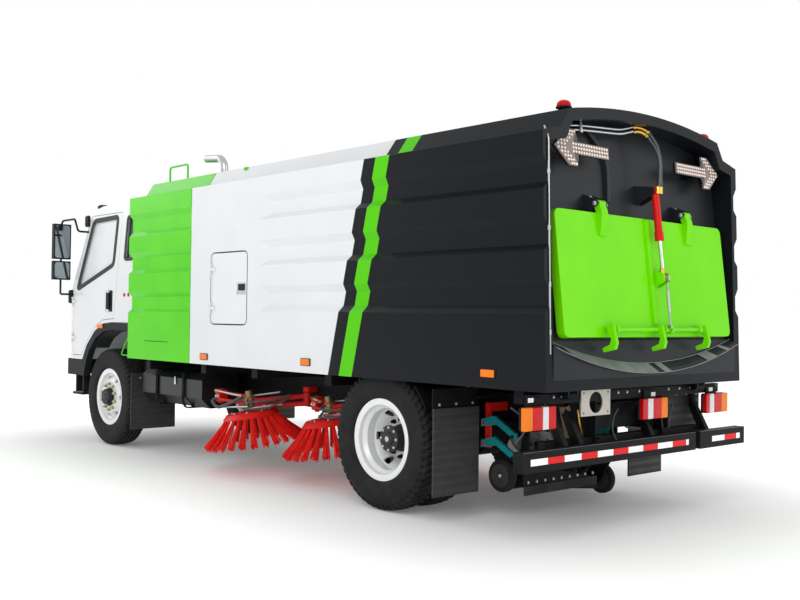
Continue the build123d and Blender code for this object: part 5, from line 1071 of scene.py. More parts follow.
@dataclass
class Brush:
    """One side brush: a plate with bundles of bristles that flare out under it, and its drive above."""

    end: str
    name: str
    side: int
    centre: Point
    pivot: Pair
    lead: float                 # how far the arm's gear reaches ahead of the motor
    bundles: int = 26
    strands: int = 34
    tilt: float = math.radians(9)
    lean: Pair = (0.67, 0.742)  # way in which the shaft tilts: ahead, outwards
    root: float = 0.226         # radius and depth at which the bristles leave the plate
    root_depth: float = 0.036
    run: float = 0.203          # how far out and down they then go
    drop: float = 0.232
    flare: float = 1.15         # power of the outward bend
    half_width: float = 0.0034
    sharp_deg: float = 60.0     # strands look round up to this angle
    arm_z: float = 0.66
    ports: Pair = (0.02, 0.06)  # depth of the motor's unions below its top

    def axes(self) -> tuple[Array, Array, Array]:
        """The brush's own directions, its shaft last."""
        s = math.sin(self.tilt)
        return frame_of((self.lean[0] * s, self.side * self.lean[1] * s, math.cos(self.tilt)))

    def bristles(self, rng: np.random.Generator) -> Shell:
        """All strands as flat ribbons with a diamond section.

        A strand leaves the plate at its bundle's angle and ends further out and lower: at t from 0 to 1 it
        is root + run t^flare out and root depth + drop t down, each varied by the strand's own shares.

        Args:
            rng: source of the strands' shares.

        Returns:
            One surface of all strands.
        """
        u, v, w = self.axes()
        count = self.bundles * self.strands
        bundle = np.repeat(np.arange(self.bundles), self.strands)
        share = rng.uniform(-1, 1, count)
        layer = rng.uniform(-1, 1, count)
        t = np.linspace(0, 1, 5)[:, None]
        fan = share * (0.036 + 0.034 * t)
        angle = bundle * 2 * np.pi / self.bundles + fan + rng.normal(0, 0.004, count) * t
        run = self.run + 0.014 * layer + rng.normal(0, 0.004, count)
        out = self.root + 0.006 * layer + run * t**self.flare
        down = self.root_depth + (self.drop - 0.02 * layer + rng.normal(0, 0.005, count)) * t
        spoke = np.cos(angle)[..., None] * u + np.sin(angle)[..., None] * v
        across = -np.sin(angle)[..., None] * u + np.cos(angle)[..., None] * v
        line = np.array(self.centre) + out[..., None] * spoke - down[..., None] * w
        thick = (self.half_width + 0.0004 * t)[..., None]
        outward = spoke * 0.7 + w * 0.7
        corners = np.stack([line + across * thick, line + outward * thick * 0.6, line - across * thick,
                            line - outward * thick * 0.6], 2)
        rows = len(t)
        index = np.arange(rows * count * 4).reshape(rows, count, 4)
        here, on = index[:-1], index[1:]
        quads = np.stack([here, np.roll(here, -1, 2), np.roll(on, -1, 2), on], -1).reshape(-1, 4)
        tips = np.concatenate([index[0][:, ::-1], index[-1]])
        return Shell(corners.reshape(-1, 3), np.concatenate([quads, tips]))

    def gear(self) -> None:
        """Motor, unions, looped hoses, tie rod and zinc bolts on the swinging arm."""
        u, v, w = self.axes()
        body, tag = f"arm_{self.end}_{self.name}", f"{self.end}_{self.name}"
        centre = np.array(self.centre)
        reach = np.array((*self.pivot, self.arm_z)) - centre
        back = reach - (reach @ w) * w
        back /= np.linalg.norm(back)
        beside = np.cross(w, back)
        beside *= math.copysign(1.0, beside[1] * centre[1])
        top, low = centre + w * 0.13, centre + w * 0.03
        make(f"motor_{tag}", [lathe(MOTOR_CASING, self.centre, w, 28)], MOTOR, body)
        unions = [rod(top - w * d + beside * 0.03, top - w * d + beside * 0.078, 0.011, 6)
                  for d in self.ports]
        make(f"unions_{tag}", unions, BRASS, body)
        hoses = []
        for number, d in enumerate(self.ports):
            start = top - w * d + beside * 0.075
            over = start + beside * (0.05 + 0.02 * number) - w * (0.02 + 0.02 * number)
            round_back = over + back * 0.2 - w * 0.015 + beside * 0.01
            end = centre + back * 0.36 + beside * 0.05 + np.array((0, 0, 0.10 - 0.02 * number))
            hoses.append(tube(bent([start, over, round_back, end], 0.09, 8), 0.0095, 10))
        make(f"hoses_{tag}", hoses, SLEEVE, body)
        tie = [rod(low + beside * 0.062 - back * 0.02, low + beside * 0.075 + back * 0.30, 0.009),
               rod(top + beside * -0.055 + back * 0.02, top - beside * 0.05 + back * 0.27, 0.0085)]
        tie += [bolt(top + polar(turn + 0.6, 0.036, u, v) - w * 0.013, w, 0.007) for turn in turns(4)]
        tie += [bolt(low + beside * 0.062 + back * q + w * 0.008, w, 0.009) for q in (0.0, 0.14, 0.27)]
        make(f"tie_rods_{tag}", tie, ZINC, body)
        arm = plate(ARM_PLATE, low + w * 0.01, back, beside, 0.01, 0.002)
        make(f"arm_plate_{tag}", [arm, *self.lead_arm(body, top)], RED, body)

    def lead_arm(self, body: str, top: Array) -> list[Shell]:
        """The arm's forward end: a box with two bars to the motor, silver rods and a looped hose.

        Args:
            body: the arm it moves with.
            top: the motor's top.

        Returns:
            The red parts.
        """
        x, y, z = top[0], top[1], self.arm_z
        side = 1.0 if y > 0 else -1.0
        tip = x + self.lead

        def spot(along: float, out: float, height: float) -> Point:
            """A point at an x, so far outwards of the motor's top and above the arm."""
            return along, y + side * out, z + height

        red = [soft_box(spot(tip - 0.07, -0.045, -0.06), spot(tip, 0.045, 0.05), 0.008),
               rod(spot(tip - 0.03, 0, 0.06), spot(tip - 0.03, 0, -0.075), 0.022)]
        red += [rod(spot(tip - 0.03, out, height), spot(x + 0.02, out, height - 0.01), 0.016)
                for out, height in ((0.03, -0.035), (-0.03, 0.02))]
        silver = [rod(spot(tip - 0.02, 0.055, 0.045), spot(x + 0.03, 0.06, 0.02), 0.0105),
                  rod(spot(tip - 0.14, 0.07, -0.1), spot(x - 0.1, 0.075, -0.065), 0.009)]
        silver += [bolt(spot(q, 0.045, -0.01), (0, side, 0), 0.011) for q in (tip - 0.02, tip - 0.052)]
        make(f"lead_rods_{self.end}_{self.name}", silver, ZINC, body)
        ends = [rod(spot(q, 0.057, high), spot(q + 0.03, 0.057, high - 0.001), 0.0165, 6)
                for q, high in ((tip - 0.06, 0.0425), (x + 0.04, 0.02125))]
        make(f"lead_unions_{self.end}_{self.name}", ends, BRASS, body)
        if self.end == "front":
            loop = [spot(tip - 0.03, 0.03, -0.02), spot(tip, 0.08, -0.05), spot(tip - 0.12, 0.095, -0.11),
                    spot(x + 0.14, 0.08, -0.04), spot(x + 0.05, 0.05, 0.01)]
            make(f"lead_hose_{self.name}", [tube(bent(loop, 0.08, 8), 0.015)], SLEEVE, body)
        return red

    def build(self, rng: np.random.Generator) -> None:
        """The bristles, the plate with its sockets and bolts, and the drive.

        Args:
            rng: source of the strands' shares.
        """
        u, v, w = self.axes()
        body = f"brush_{self.end}_{self.name}"
        centre = np.array(self.centre)
        make(f"{body}_bristles", [self.bristles(rng)], BRISTLE, body, [body], self.sharp_deg)
        rings = [lathe(BRUSH_BAND, centre, w, 24), lathe(BRUSH_HUB, centre, w)]
        sockets = []
        for turn in turns(self.bundles):
            spoke = polar(turn, 1.0, u, v)
            foot = centre + spoke * 0.222 - w * 0.034
            sockets.append(rod(foot, foot - w * 0.022 + spoke * 0.019, 0.0125, 10))
        make(f"{body}_plate", [*rings, *sockets], RED_PLATE, body)
        bolts = [bolt(centre + polar(turn, 0.17, u, v) - 0.0005 * w, w, 0.011) for turn in turns(8)]
        make(f"{body}_bolts", bolts, ZINC, body)
        self.gear()


# Each lamp block from left to right: where a window starts and its colour; the last row is where it ends.
LAMP_BLOCKS = (
    ((1.206, "amber"), (1.127, "red"), (1.032, "clear"), (0.976, "red"), (0.906, "")),
    ((-0.022, "red"), (-0.083, "clear"), (-0.147, "red"), (-0.245, "amber"), (-0.322, "")),
    ((-0.824, "red"), (-0.874, "clear"), (-0.936, "red"), (-1.037, "amber"), (-1.124, "")))
BEACON_FOOT = ((-0.006, 0.036), (0, 0.05), (0.003, 0.052), (0.01, 0.05), (0.013, 0.044))


@dataclass
class RearLights:
    """Beacons, arrows and tail lamps."""

    places: Places
    beacon: Point = (-1.44, 0.812, 2.7257)
    beacon_radius: float = 0.0455
    arrow_tip: float = 0.954    # distance of the arrow's ends from the middle
    arrow_tail: float = 0.398
    arrow_rise: float = 0.395   # its middle, up the rear panel
    bracket: float = 0.676
    lamp_back: float = -1.484
    lamp_z: Pair = (0.712, 0.858)
    flute: float = 0.0118       # pitch of the lamps' moulded flutes
    tags_at: Pairs = ((1.092, 0.895), (-0.215, 0.878), (-0.967, 0.883))
    bolts_at: Row = (0.86, 0.78, 0.18, 0.08, -0.06, -0.42, -0.56, -0.70, -1.05)

    def beacons(self) -> None:
        """Two red domes on black feet, with ribs round the lens."""
        p, (x, y, z) = self.places, self.beacon
        t = np.linspace(0, 1, 30)
        ribs = 0.0008 * np.sin(t * 75) * (t < 0.7)
        radius = self.beacon_radius * np.sqrt(np.clip(1 - (t * 0.985) ** 3, 0, 1)) + ribs
        lens = np.stack([0.011 + 0.042 * t, radius], -1)
        feet = [p.at(x, side * y, z) for _, side in SIDES]
        make("beacon_feet", [lathe(BEACON_FOOT, foot, UPRIGHT) for foot in feet], TRIM, "hopper")
        make("beacon_lenses", [lathe(lens, foot, UPRIGHT) for foot in feet], RED_LENS, "hopper")

    def lamp_spots(self) -> list[Pair]:
        """Set out the small lamps: three rows along the shaft, three along each barb.

        Returns:
            Their places: outwards from the truck's middle, and up from the arrow's own middle.
        """
        tip, tail = self.arrow_tip, self.arrow_tail
        shaft = [(y, z) for y in np.arange(tail + 0.02, tip - 0.16, 0.027) for z in (-0.025, 0.0, 0.025)]
        barbs = [(tip - 0.035 - 0.125 * q - k * (1 - 0.3 * q), sign * (0.013 + 0.092 * q))
                 for q in np.linspace(0, 1, 5) for sign in (-1, 1) for k in (0.0, 0.032, 0.064)]
        return shaft + barbs

    def arrows(self) -> None:
        """Two arrow boards with rows of small round lamps, on brackets."""
        p, tip, tail = self.places, self.arrow_tip, self.arrow_tail
        boards, backs, lamps, brackets = [], [], [], []
        half = [(tip, 0), (tip - 0.135, 0.118), (tip - 0.216, 0.118), (tip - 0.19, 0.039), (tail, 0.039)]
        foot = box_outline((-0.05, -0.045), (0.05, 0.045))
        up_way, out_way = np.array(TAIL_UP), np.array(TAIL_OUT)
        origin = np.array(p.tail(self.arrow_rise, 0.123))
        for _, side in SIDES:
            outline = [(side * y, z) for y, z in half] + [(side * y, -z) for y, z in half[:0:-1]]
            outline = outline if side < 0 else outline[::-1]
            rear = [(y, z * 0.97) for y, z in outline]
            boards.append(plate(outline, origin, ACROSS, TAIL_UP, 0.012, 0.002))
            backs.append(plate(rear, p.tail(self.arrow_rise, 0.111), ACROSS, TAIL_UP, 0.016, 0.002))
            for y, z in self.lamp_spots():
                spot = origin + np.array((0, side * y, 0)) + z * up_way
                lamps.append(dome(spot - 0.0004 * out_way, TAIL_OUT, 0.0088, 0.006, 10, 3))
            y = side * self.bracket
            brackets += [rod(p.tail(up, -0.001, y), p.tail(up, 0.1, y), 0.012) for up in (0.365, 0.425)]
            brackets.append(plate(foot, p.tail(self.arrow_rise, 0.006, y), ACROSS, TAIL_UP, 0.006, 0.002))
        make("arrow_boards", boards, LED_BOARD, "hopper", ["signal_lamps"])
        make("arrow_backs", backs, CHASSIS, "hopper")
        make("arrow_lamps", lamps, LED, "hopper")
        make("arrow_brackets", brackets, CHASSIS, "hopper")

    def tail_lamps(self) -> None:
        """Three lamp blocks in black shells: amber, red and clear windows side by side, each fluted."""
        back = self.places.fore(self.lamp_back)
        low, high = self.lamp_z
        kinds = {"red": [], "amber": [], "clear": []}
        shells = []
        for block in LAMP_BLOCKS:
            right, left = (back + 0.03, block[-1][0], low), (back + 0.052, block[0][0], high)
            shells.append(soft_box(right, left, 0.008))
            for (start, kind), (stop, _) in zip(block[:-1], block[1:]):
                near, far = (back, stop + 0.001, low + 0.002), (back + 0.032, start - 0.001, high - 0.002)
                kinds[kind].append(soft_box(near, far, 0.004))
                for z in np.arange(low + 0.014, high - 0.01, self.flute):
                    left, right = (back + 0.0006, start - 0.006, z), (back + 0.0006, stop + 0.006, z)
                    kinds[kind].append(rod(left, right, 0.0018, 6))
        make("tail_lamp_shells", shells, TRIM, "chassis", ["tail_lamps"])
        for (kind, pieces), finish in zip(kinds.items(), (RED_LENS, AMBER_LENS, CLEAR_LENS)):
            make(f"tail_lamp_{kind}", pieces, finish, "chassis")

    def tags(self) -> None:
        """Small white reflector tags on the beam above the lamps, and zinc bolts beside them."""
        p = self.places
        tags = [soft_box(p.at(-1.434, y - 0.026, z - 0.014), p.at(-1.4305, y + 0.026, z + 0.014), 0.001)
                for y, z in self.tags_at]
        make("reflector_tags", tags, WHITE_TAPE, "chassis")
        make("beam_bolts", p.bolts(-1.4195, self.bolts_at, 0.905, 0.0075), ZINC, "chassis")

    def build(self) -> None:
        """All lights at the rear."""
        self.beacons()
        self.arrows()
        self.tail_lamps()
        self.tags()


def spring(path: Array, radius: float, wire: float, pitch: float) -> Shell:
    """Wind a wire round a path: point(s) = path(s) + radius (cos 2 pi s / pitch n + sin 2 pi s / pitch b).

    Args:
        path: the spring's middle line.
        radius: from the middle line to the wire's own.
        wire: the wire's radius.
        pitch: distance from one turn to the next.

    Returns:
        The closed surface.
    """
    run = np.concatenate([[0], np.cumsum(np.linalg.norm(np.diff(path, axis=0), axis=1))])
    s = np.linspace(0, run[-1], int(run[-1] / pitch * 10))
    line = np.stack([np.interp(s, run, path[:, k]) for k in range(3)], -1)
    tangent = unit(np.gradient(line, axis=0))
    n = unit(np.cross(tangent, np.array((0.9, 0.1, 0.3))))
    turn = (2 * np.pi * s / pitch)[:, None]
    return tube(line + radius * (np.cos(turn) * n + np.sin(turn) * np.cross(tangent, n)), wire, 5)


# Two lines lie side by side. A corner has its place on the first (up the rear panel, out from it, to the
# left), then how its up and its left change for each metre that the second lies away.
PIPE_ROUTE = ((0.557, 0.03, 0.8, -1, 0), (0.577, 0.06, 0.6, -1, 0), (0.600, 0.08, 0.18, -1, 0),
              (0.632, 0.1, 0.06, -1, 0))
ELBOW_ROUTE = (PIPE_ROUTE[-1], (0.634, 0.11, -0.01, -1, 0), (0.606, 0.13, -0.075, -1, 0.6))
HOSE_ROUTE = (ELBOW_ROUTE[-1], (0.52, 0.15, -0.135, -1, 0.6), (0.40, 0.16, -0.15, 0, 0.6),
              (0.30, 0.165, -0.125, 0, 0.6), (0.20, 0.17, -0.10, 0, 1))
HOSE_END = ((0.215, 0.17, -0.10, 0, 1), (0.165, 0.166, -0.097, 0, 1))
# The fat cable's corners: up the rear panel, out from it, and to the left.
CABLE_ROUTE = ((0.60, 0.012, 0.50), (0.52, 0.02, 0.41), (0.40, 0.02, 0.295), (0.25, 0.02, 0.29),
               (0.10, 0.02, 0.31))
# The lock rod's parts: start, end, radius, sides.
LOCK_LINK = (((-0.44, 0.163, -0.082), (-0.745, 0.160, -0.075), 0.006, 10),
             ((-0.50, 0.162, -0.081), (-0.65, 0.161, -0.077), 0.0105, 8),
             ((-0.411, 0.165, -0.092), (-0.411, 0.165, -0.072), 0.02, 16),
             ((-0.745, 0.160, -0.086), (-0.745, 0.160, -0.064), 0.013, 12))


@dataclass
class RearPanel:
    """Pipes, hoses, cable, pins and bolts on the rear panel and its hatch."""

    places: Places
    pipe: float = 0.009
    hose: float = 0.0095
    elbow: float = 0.0125
    nut: float = 0.0165
    ferrule: float = 0.0145
    pipe_gap: float = 0.03      # from one pipe's middle to the next
    guard: float = 0.0112
    guard_wire: float = 0.0016
    guard_pitch: float = 0.017
    hinge: float = 0.5          # distance of a hinge from the middle
    tray_half: float = 1.055    # half the catch tray's width
    # Where the tray's lip shows bare and bright, a painted sheen on its metal, from left to right.
    sheen_lengths: Pairs = ((0.93, 0.02), (-0.055, -0.13), (-0.60, -0.72), (-0.86, -0.90))
    # The lip's two arcs and their rims: distance behind the axle, height at the middle and at the end.
    lip_arcs: tuple[Row, Row] = ((1.538, 1.105, 1.262), (1.596, 1.0445, 1.2255))
    rim_arcs: tuple[Row, Row] = ((1.536, 1.106, 1.263), (1.599, 1.0415, 1.2235))
    lip_slant: float = 0.055    # how far the outer arc's bright lengths of painted sheen are shifted to the right
    clips: Row = (0.16, 0.42, 0.68, 0.9)

    def corners(self, rows: Sequence[Row], away: float) -> list[Point]:
        """Place the corners of one of two lines that lie side by side.

        Args:
            rows: up the panel, out from it, to the left, and the changes of up and left.
            away: the line's distance from the first one.

        Returns:
            The corners.
        """
        return [self.places.tail(up + away * rise, out, y + away * shift) for up, out, y, rise, shift in rows]

    def pipes(self) -> None:
        """Two steel pipes in a clamp, brass elbows, and hoses in spring guards down to the cylinder."""
        p, steel, brass, hoses, guards = self.places, [], [], [], []
        for away in (0.0, self.pipe_gap):
            steel.append(tube(bent(self.corners(PIPE_ROUTE, away), 0.06), self.pipe, 14))
            start, bend, end = self.corners(ELBOW_ROUTE, away)
            brass.append(tube(bent([start, bend, end], 0.05), self.elbow, 14))
            for near in (start, end):
                brass.append(rod(near, near + (np.array(bend) - near) * 0.28, self.nut, 6))
            path = bent(self.corners(HOSE_ROUTE, away), 0.09, 8)
            hoses.append(tube(path, self.hose, 10))
            guards.append(spring(path, self.guard, self.guard_wire, self.guard_pitch))
            brass.append(rod(*self.corners(HOSE_END, away), self.ferrule, 6))
        shape = box_outline((-0.035, 0), (0.035, 0.074))
        clamp = plate(shape, p.tail(0.562, 0, 0.612), TAIL_UP, TAIL_OUT, 0.024, 0.003)
        make("hatch_pipes", [*steel, clamp], STEEL, "hopper", ["rear_pipes"])
        make("hatch_elbows", brass, BRASS, "hopper")
        make("hatch_hoses", hoses, HOSE, "hopper")
        make("hose_guards", guards, STEEL, "hopper")

    def cable(self) -> None:
        """A fat cable that hangs from the roof's edge down behind the hatch, and its gland."""
        p = self.places
        path = [p.tail(*spot) for spot in CABLE_ROUTE]
        gland = rod(path[0], p.tail(0.62, 0.012, 0.54), 0.02, 8)
        make("panel_cable", [tube(bent(path, 0.12, 8), 0.015), gland], HOSE, "hopper")

    def hinges(self) -> None:
        """Pins with washers through the hatch's ears, and bolts at their feet."""
        p, pins = self.places, []
        for _, side in SIDES:
            for ear in (-1, 1):
                y = side * self.hinge
                pins.append(bolt(p.tail(0.060, 0.092, y + ear * 0.058), (0, ear, 0), 0.013))
                pins.append(bolt(p.tail(0.125, 0.0, y + ear * 0.03), TAIL_OUT, 0.008))
        make("hinge_pins", pins, ZINC, "hopper")

    def lock(self) -> None:
        """Bolts on the lock shaft's bearings, the brass ball in the rod's eye and the rod to the shaft."""
        p = self.places
        heads = [bolt(p.tail(-0.759, 0.12, y + 0.0165), ACROSS, 0.012) for y in (-0.485, -0.060, 0.485)]
        heads += [bolt(p.tail(-0.745, 0.086, y), TAIL_OUT, 0.009) for y in (0.515, -0.455)]
        make("lock_bolts", heads, ZINC, "hatch")
        eye = [rod(p.tail(-0.411, 0.14, -0.098), p.tail(-0.411, 0.14, -0.046), 0.0255, 20),
               rod(p.tail(-0.385, 0.14, -0.072), p.tail(-0.345, 0.14, -0.072), 0.017, 6)]
        make("rod_eye", eye, BRASS, "hatch_piston")
        link = [rod(p.tail(*start), p.tail(*end), radius, sides) for start, end, radius, sides in LOCK_LINK]
        make("lock_link", link, STEEL, "hatch")

    def arc(self, y: Array, arc: tuple[float, float, float], shift: float = 0.0) -> Array:
        """Follow the tray's edge: z = middle + R - sqrt(R^2 - y^2), R from the rise over the half width.

        Args:
            y: distances to the left.
            arc: distance behind the axle, height at the middle, height at the end.
            shift: how far the points move to the right.

        Returns:
            The points.
        """
        aft, middle, end = arc
        rise = end - middle
        radius = (rise**2 + self.tray_half**2) / (2 * rise)
        y = y - shift
        z = middle + radius - np.sqrt(radius**2 - y**2)
        return np.stack([np.full_like(y, self.places.fore(-aft)), y, z], -1)

    def lip(self) -> None:
        """Bright strips on the catch tray's lip, a painted sheen on its bare metal, and a thin bright rim
        along each of its edges, a painted highlight.
        """
        lift = np.array((-0.0012, 0, 0.0018))
        strips = []
        for start, stop in self.sheen_lengths:
            y = np.linspace(start, stop, 28)
            inner, outer = self.arc(y, self.lip_arcs[0]), self.arc(y, self.lip_arcs[1], self.lip_slant)
            strips.append(closed(np.stack([inner, outer, outer + lift, inner + lift], 1)))
        make("tray_lip_sheen", strips, BARE, "hopper")
        y = np.linspace(-self.tray_half, self.tray_half, 60)
        make("tray_rim_highlights", [tube(self.arc(y, arc), 0.0028, 8) for arc in self.rim_arcs], BARE, "hopper")

    def edge(self) -> None:
        """A bright conduit down the left edge of the rear rim, held by clips."""
        p = self.places
        top, foot = np.array(p.at(-1.5415, 1.082, 2.50)), np.array(p.at(-1.5735, 1.082, 1.18))
        parts = [tube(bent([p.at(-1.49, 1.06, 2.575), top, foot], 0.03), 0.0055, 10)]
        half = (foot - top) * 0.012
        for share in self.clips:
            middle = top + (foot - top) * share
            parts.append(rod(middle + half, middle - half, 0.009, 12))
        make("edge_conduit", parts, STEEL, "hopper")

    def build(self) -> None:
        """Everything on the rear panel."""
        self.edge()
        self.pipes()
        self.cable()
        self.hinges()
        self.lock()
        self.lip()


# Edges of the blocks of tape on the bumper's two bars, from left to right.
TAPE_EDGES = ((1.207, 1.047, 0.887, 0.719, 0.553, 0.386, 0.220, 0.051, -0.122, -0.303, -0.473, -0.507),
              (-0.817, -0.991, -1.158, -1.210))
# Cables' corners: distance ahead of the rear axle, to the left, height.
REAR_CABLES = (
    ((-1.36, 0.096, 0.79), (-1.36, 0.15, 0.73), (-1.38, 0.185, 0.64), (-1.42, 0.19, 0.585)),
    ((-1.38, -0.36, 0.80), (-1.38, -0.40, 0.70), (-1.40, -0.39, 0.60)),
    ((-1.34, -0.60, 0.78), (-1.36, -0.52, 0.68), (-1.38, -0.50, 0.60)),
    ((-1.30, 1.12, 0.84), (-1.31, 1.02, 0.78), (-1.28, 0.96, 0.68), (-1.22, 0.99, 0.60)),
    ((-1.30, 0.80, 0.85), (-1.32, 0.76, 0.76), (-1.28, 0.72, 0.66), (-1.22, 0.60, 0.55)))
REAR_HOSE = ((-1.33, 0.50, 0.80), (-1.34, 0.48, 0.67), (-1.34, 0.43, 0.57))
# Boxes, for Places.blocks.
APRON = (((-1.302, -1.02, 0.60), (-1.296, -0.40, 0.862), 0.002),)
SKIRTS = (((-0.8085, -0.418, 0.148), (-0.8015, 0.418, 0.215), 0.002),
          ((-0.5585, -0.418, 0.148), (-0.5515, 0.418, 0.215), 0.002))
# Caster sections: distance across and radius.
CASTER_RING = ((-0.028, 0.082), (-0.028, 0.1), (-0.024, 0.109), (-0.016, 0.114), (0.016, 0.114),
               (0.024, 0.109), (0.028, 0.1), (0.028, 0.082))
CASTER_HUB = ((-0.0275, 0.018), (-0.0285, 0.03), (-0.0285, 0.068), (-0.0282, 0.081), (0.0282, 0.081),
              (0.0285, 0.068), (0.0285, 0.03), (0.0275, 0.018))


@dataclass
class RearUnderside:
    """Bumper tape, flap bolts, cables, the duct and the nozzle's skirt and casters."""

    places: Places
    face: float = -1.535
    tape_z: Pair = (0.514, 0.554)
    bar_ends: Row = (1.2738, -0.600, -0.660, -1.2738)
    worn_edges: Pairs = ((1.272, -0.598), (-0.662, -1.272))  # bright lengths along the bars' tops
    rear_flap_x: Row = (-0.6245, -0.8865)                    # left, right: the right flap hangs further back
    front_flap_x: float = 3.889
    rear_flap_bolts: Row = (0.76, 0.92, 1.08)
    front_flap_bolts: Row = (0.60, 0.92)
    caster_z: Pair = (0.2995, 0.1705)

    def tape(self) -> None:
        """Blocks of reflective sheet, white and red in turn, on the bars' rear faces; caps at their ends."""
        p = self.places
        kinds = ([], [])
        for edges in TAPE_EDGES:
            for number, (start, stop) in enumerate(zip(edges[:-1], edges[1:])):
                near = p.at(self.face - 0.0012, stop + 0.001, self.tape_z[0])
                far = p.at(self.face + 0.001, start - 0.001, self.tape_z[1])
                kinds[number % 2].append(soft_box(near, far, 0.0004))
        make("bumper_tape_white", kinds[0], WHITE_TAPE, "chassis")
        make("bumper_tape_red", kinds[1], RED_TAPE, "chassis")
        caps = [soft_box(p.at(self.face + 0.004, y - 0.001, 0.476), p.at(-1.459, y + 0.001, 0.592), 0.003)
                for y in self.bar_ends]
        make("bumper_end_caps", caps, CHASSIS, "chassis")
        x = self.face + 0.003
        edges = [rod(p.at(x, start, 0.5955), p.at(x, stop, 0.5955), 0.0022, 8)
                 for start, stop in self.worn_edges]
        make("bumper_edge_wear", edges, BARE, "chassis")

    def apron(self) -> None:
        """A rubber apron that hangs behind the right lamps."""
        make("rear_apron", self.places.blocks(APRON), RUBBER, "chassis")
        heads = self.places.bolts(-1.3018, np.linspace(-0.97, -0.45, 5), 0.845, 0.008)
        make("apron_bolts", heads, ZINC, "chassis")

    def flaps(self) -> None:
        """Zinc bolts along the flaps' top plates."""
        p, heads = self.places, []
        for (_, side), x in zip(SIDES, self.rear_flap_x):
            heads += p.bolts(x, [side * y for y in self.rear_flap_bolts], 0.808, 0.009)
        for _, side in SIDES:
            heads += p.bolts(self.front_flap_x, [side * y for y in self.front_flap_bolts], 0.74, 0.008)
        make("flap_bolts", heads, ZINC, "chassis")

    def cables(self) -> None:
        """Cables, a brass-coloured hose and a ribbed canvas duct between the bumper and the beam."""
        p = self.places
        make("rear_cables", [p.line(route, 0.0055) for route in REAR_CABLES], SLEEVE, "chassis")
        make("rear_hose", [p.line(REAR_HOSE, 0.008)], BRASS, "chassis")
        t = np.linspace(0, 1, 40)
        line = np.stack([p.fore(-1.30) + 0 * t, 0.60 - 0.085 * t, 0.83 - 0.29 * t], -1)
        make("rear_duct", [tube(line, 0.036 + 0.0022 * np.sin(t * 120), 16)], DUCT, "chassis")

    def nozzle(self) -> None:
        """The nozzle's two rubber skirts and the row of bolts over the rear one."""
        make("nozzle_skirts", self.places.blocks(SKIRTS), SKIRT, "nozzle")
        heads = self.places.bolts(-0.8005, np.linspace(-0.37, 0.37, 9), 0.238, 0.0085)
        make("nozzle_bolts", heads, ZINC, "nozzle")

    def casters(self) -> None:
        """Caster wheels: a rubber ring, an iron hub and a zinc nut on the outside."""
        for (name, side), z in zip(SIDES, self.caster_z):
            body = f"caster_wheel_{name}"
            middle = self.places.at(-0.74, side * 0.57, z)
            ring = lathe(CASTER_RING, middle, ACROSS, 64)
            make(f"caster_{name}_tyre", [ring], TYRE, body, [f"caster_{name}"])
            make(f"caster_{name}_hub", [lathe(CASTER_HUB, middle, ACROSS, 48)], CAST, body)
            out = (middle[0], middle[1] + side * 0.0275, middle[2])
            make(f"caster_{name}_nut", [bolt(out, (0, side, 0), 0.013)], ZINC, body)

    def build(self) -> None:
        """Everything low down behind the rear wheels."""
        self.tape()
        self.apron()
        self.flaps()
        self.cables()
        self.nozzle()
        self.casters()


# The knob on the cabinet's roof: height and radius.
KNOB = ((0, 0.02), (0.016, 0.02), (0.02, 0.032), (0.034, 0.034), (0.044, 0.026))
# Boxes on the body's side, for Places.blocks.
LATCH = (((1.67, -0.001, 1.567), (1.81, 0.004, 1.668), 0.002),)
PADDLE = (((1.682, 0.0035, 1.600), (1.776, 0.011, 1.656), 0.004),)
SLOT = (((2.974, -0.001, 1.128), (3.433, 0.0012, 1.134), 0.0006),)
# Ahead and up: the outline of the tag on the tank.
TANK_TAG = ((-0.018, -0.04), (0.018, -0.04), (0.008, 0.035), (-0.008, 0.035))
# Sideways and up: a strap's path over the tank. Ahead and up: the grab wire's.
STRAP_PATH = ((0.75, 0.853), (0.93, 0.853), (0.961, 0.82), (0.961, 0.56), (0.93, 0.508), (0.75, 0.508))
GRAB_WIRE = ((3.775, 1.145), (3.822, 1.142), (3.945, 0.99), (3.93, 0.975), (3.775, 0.975))


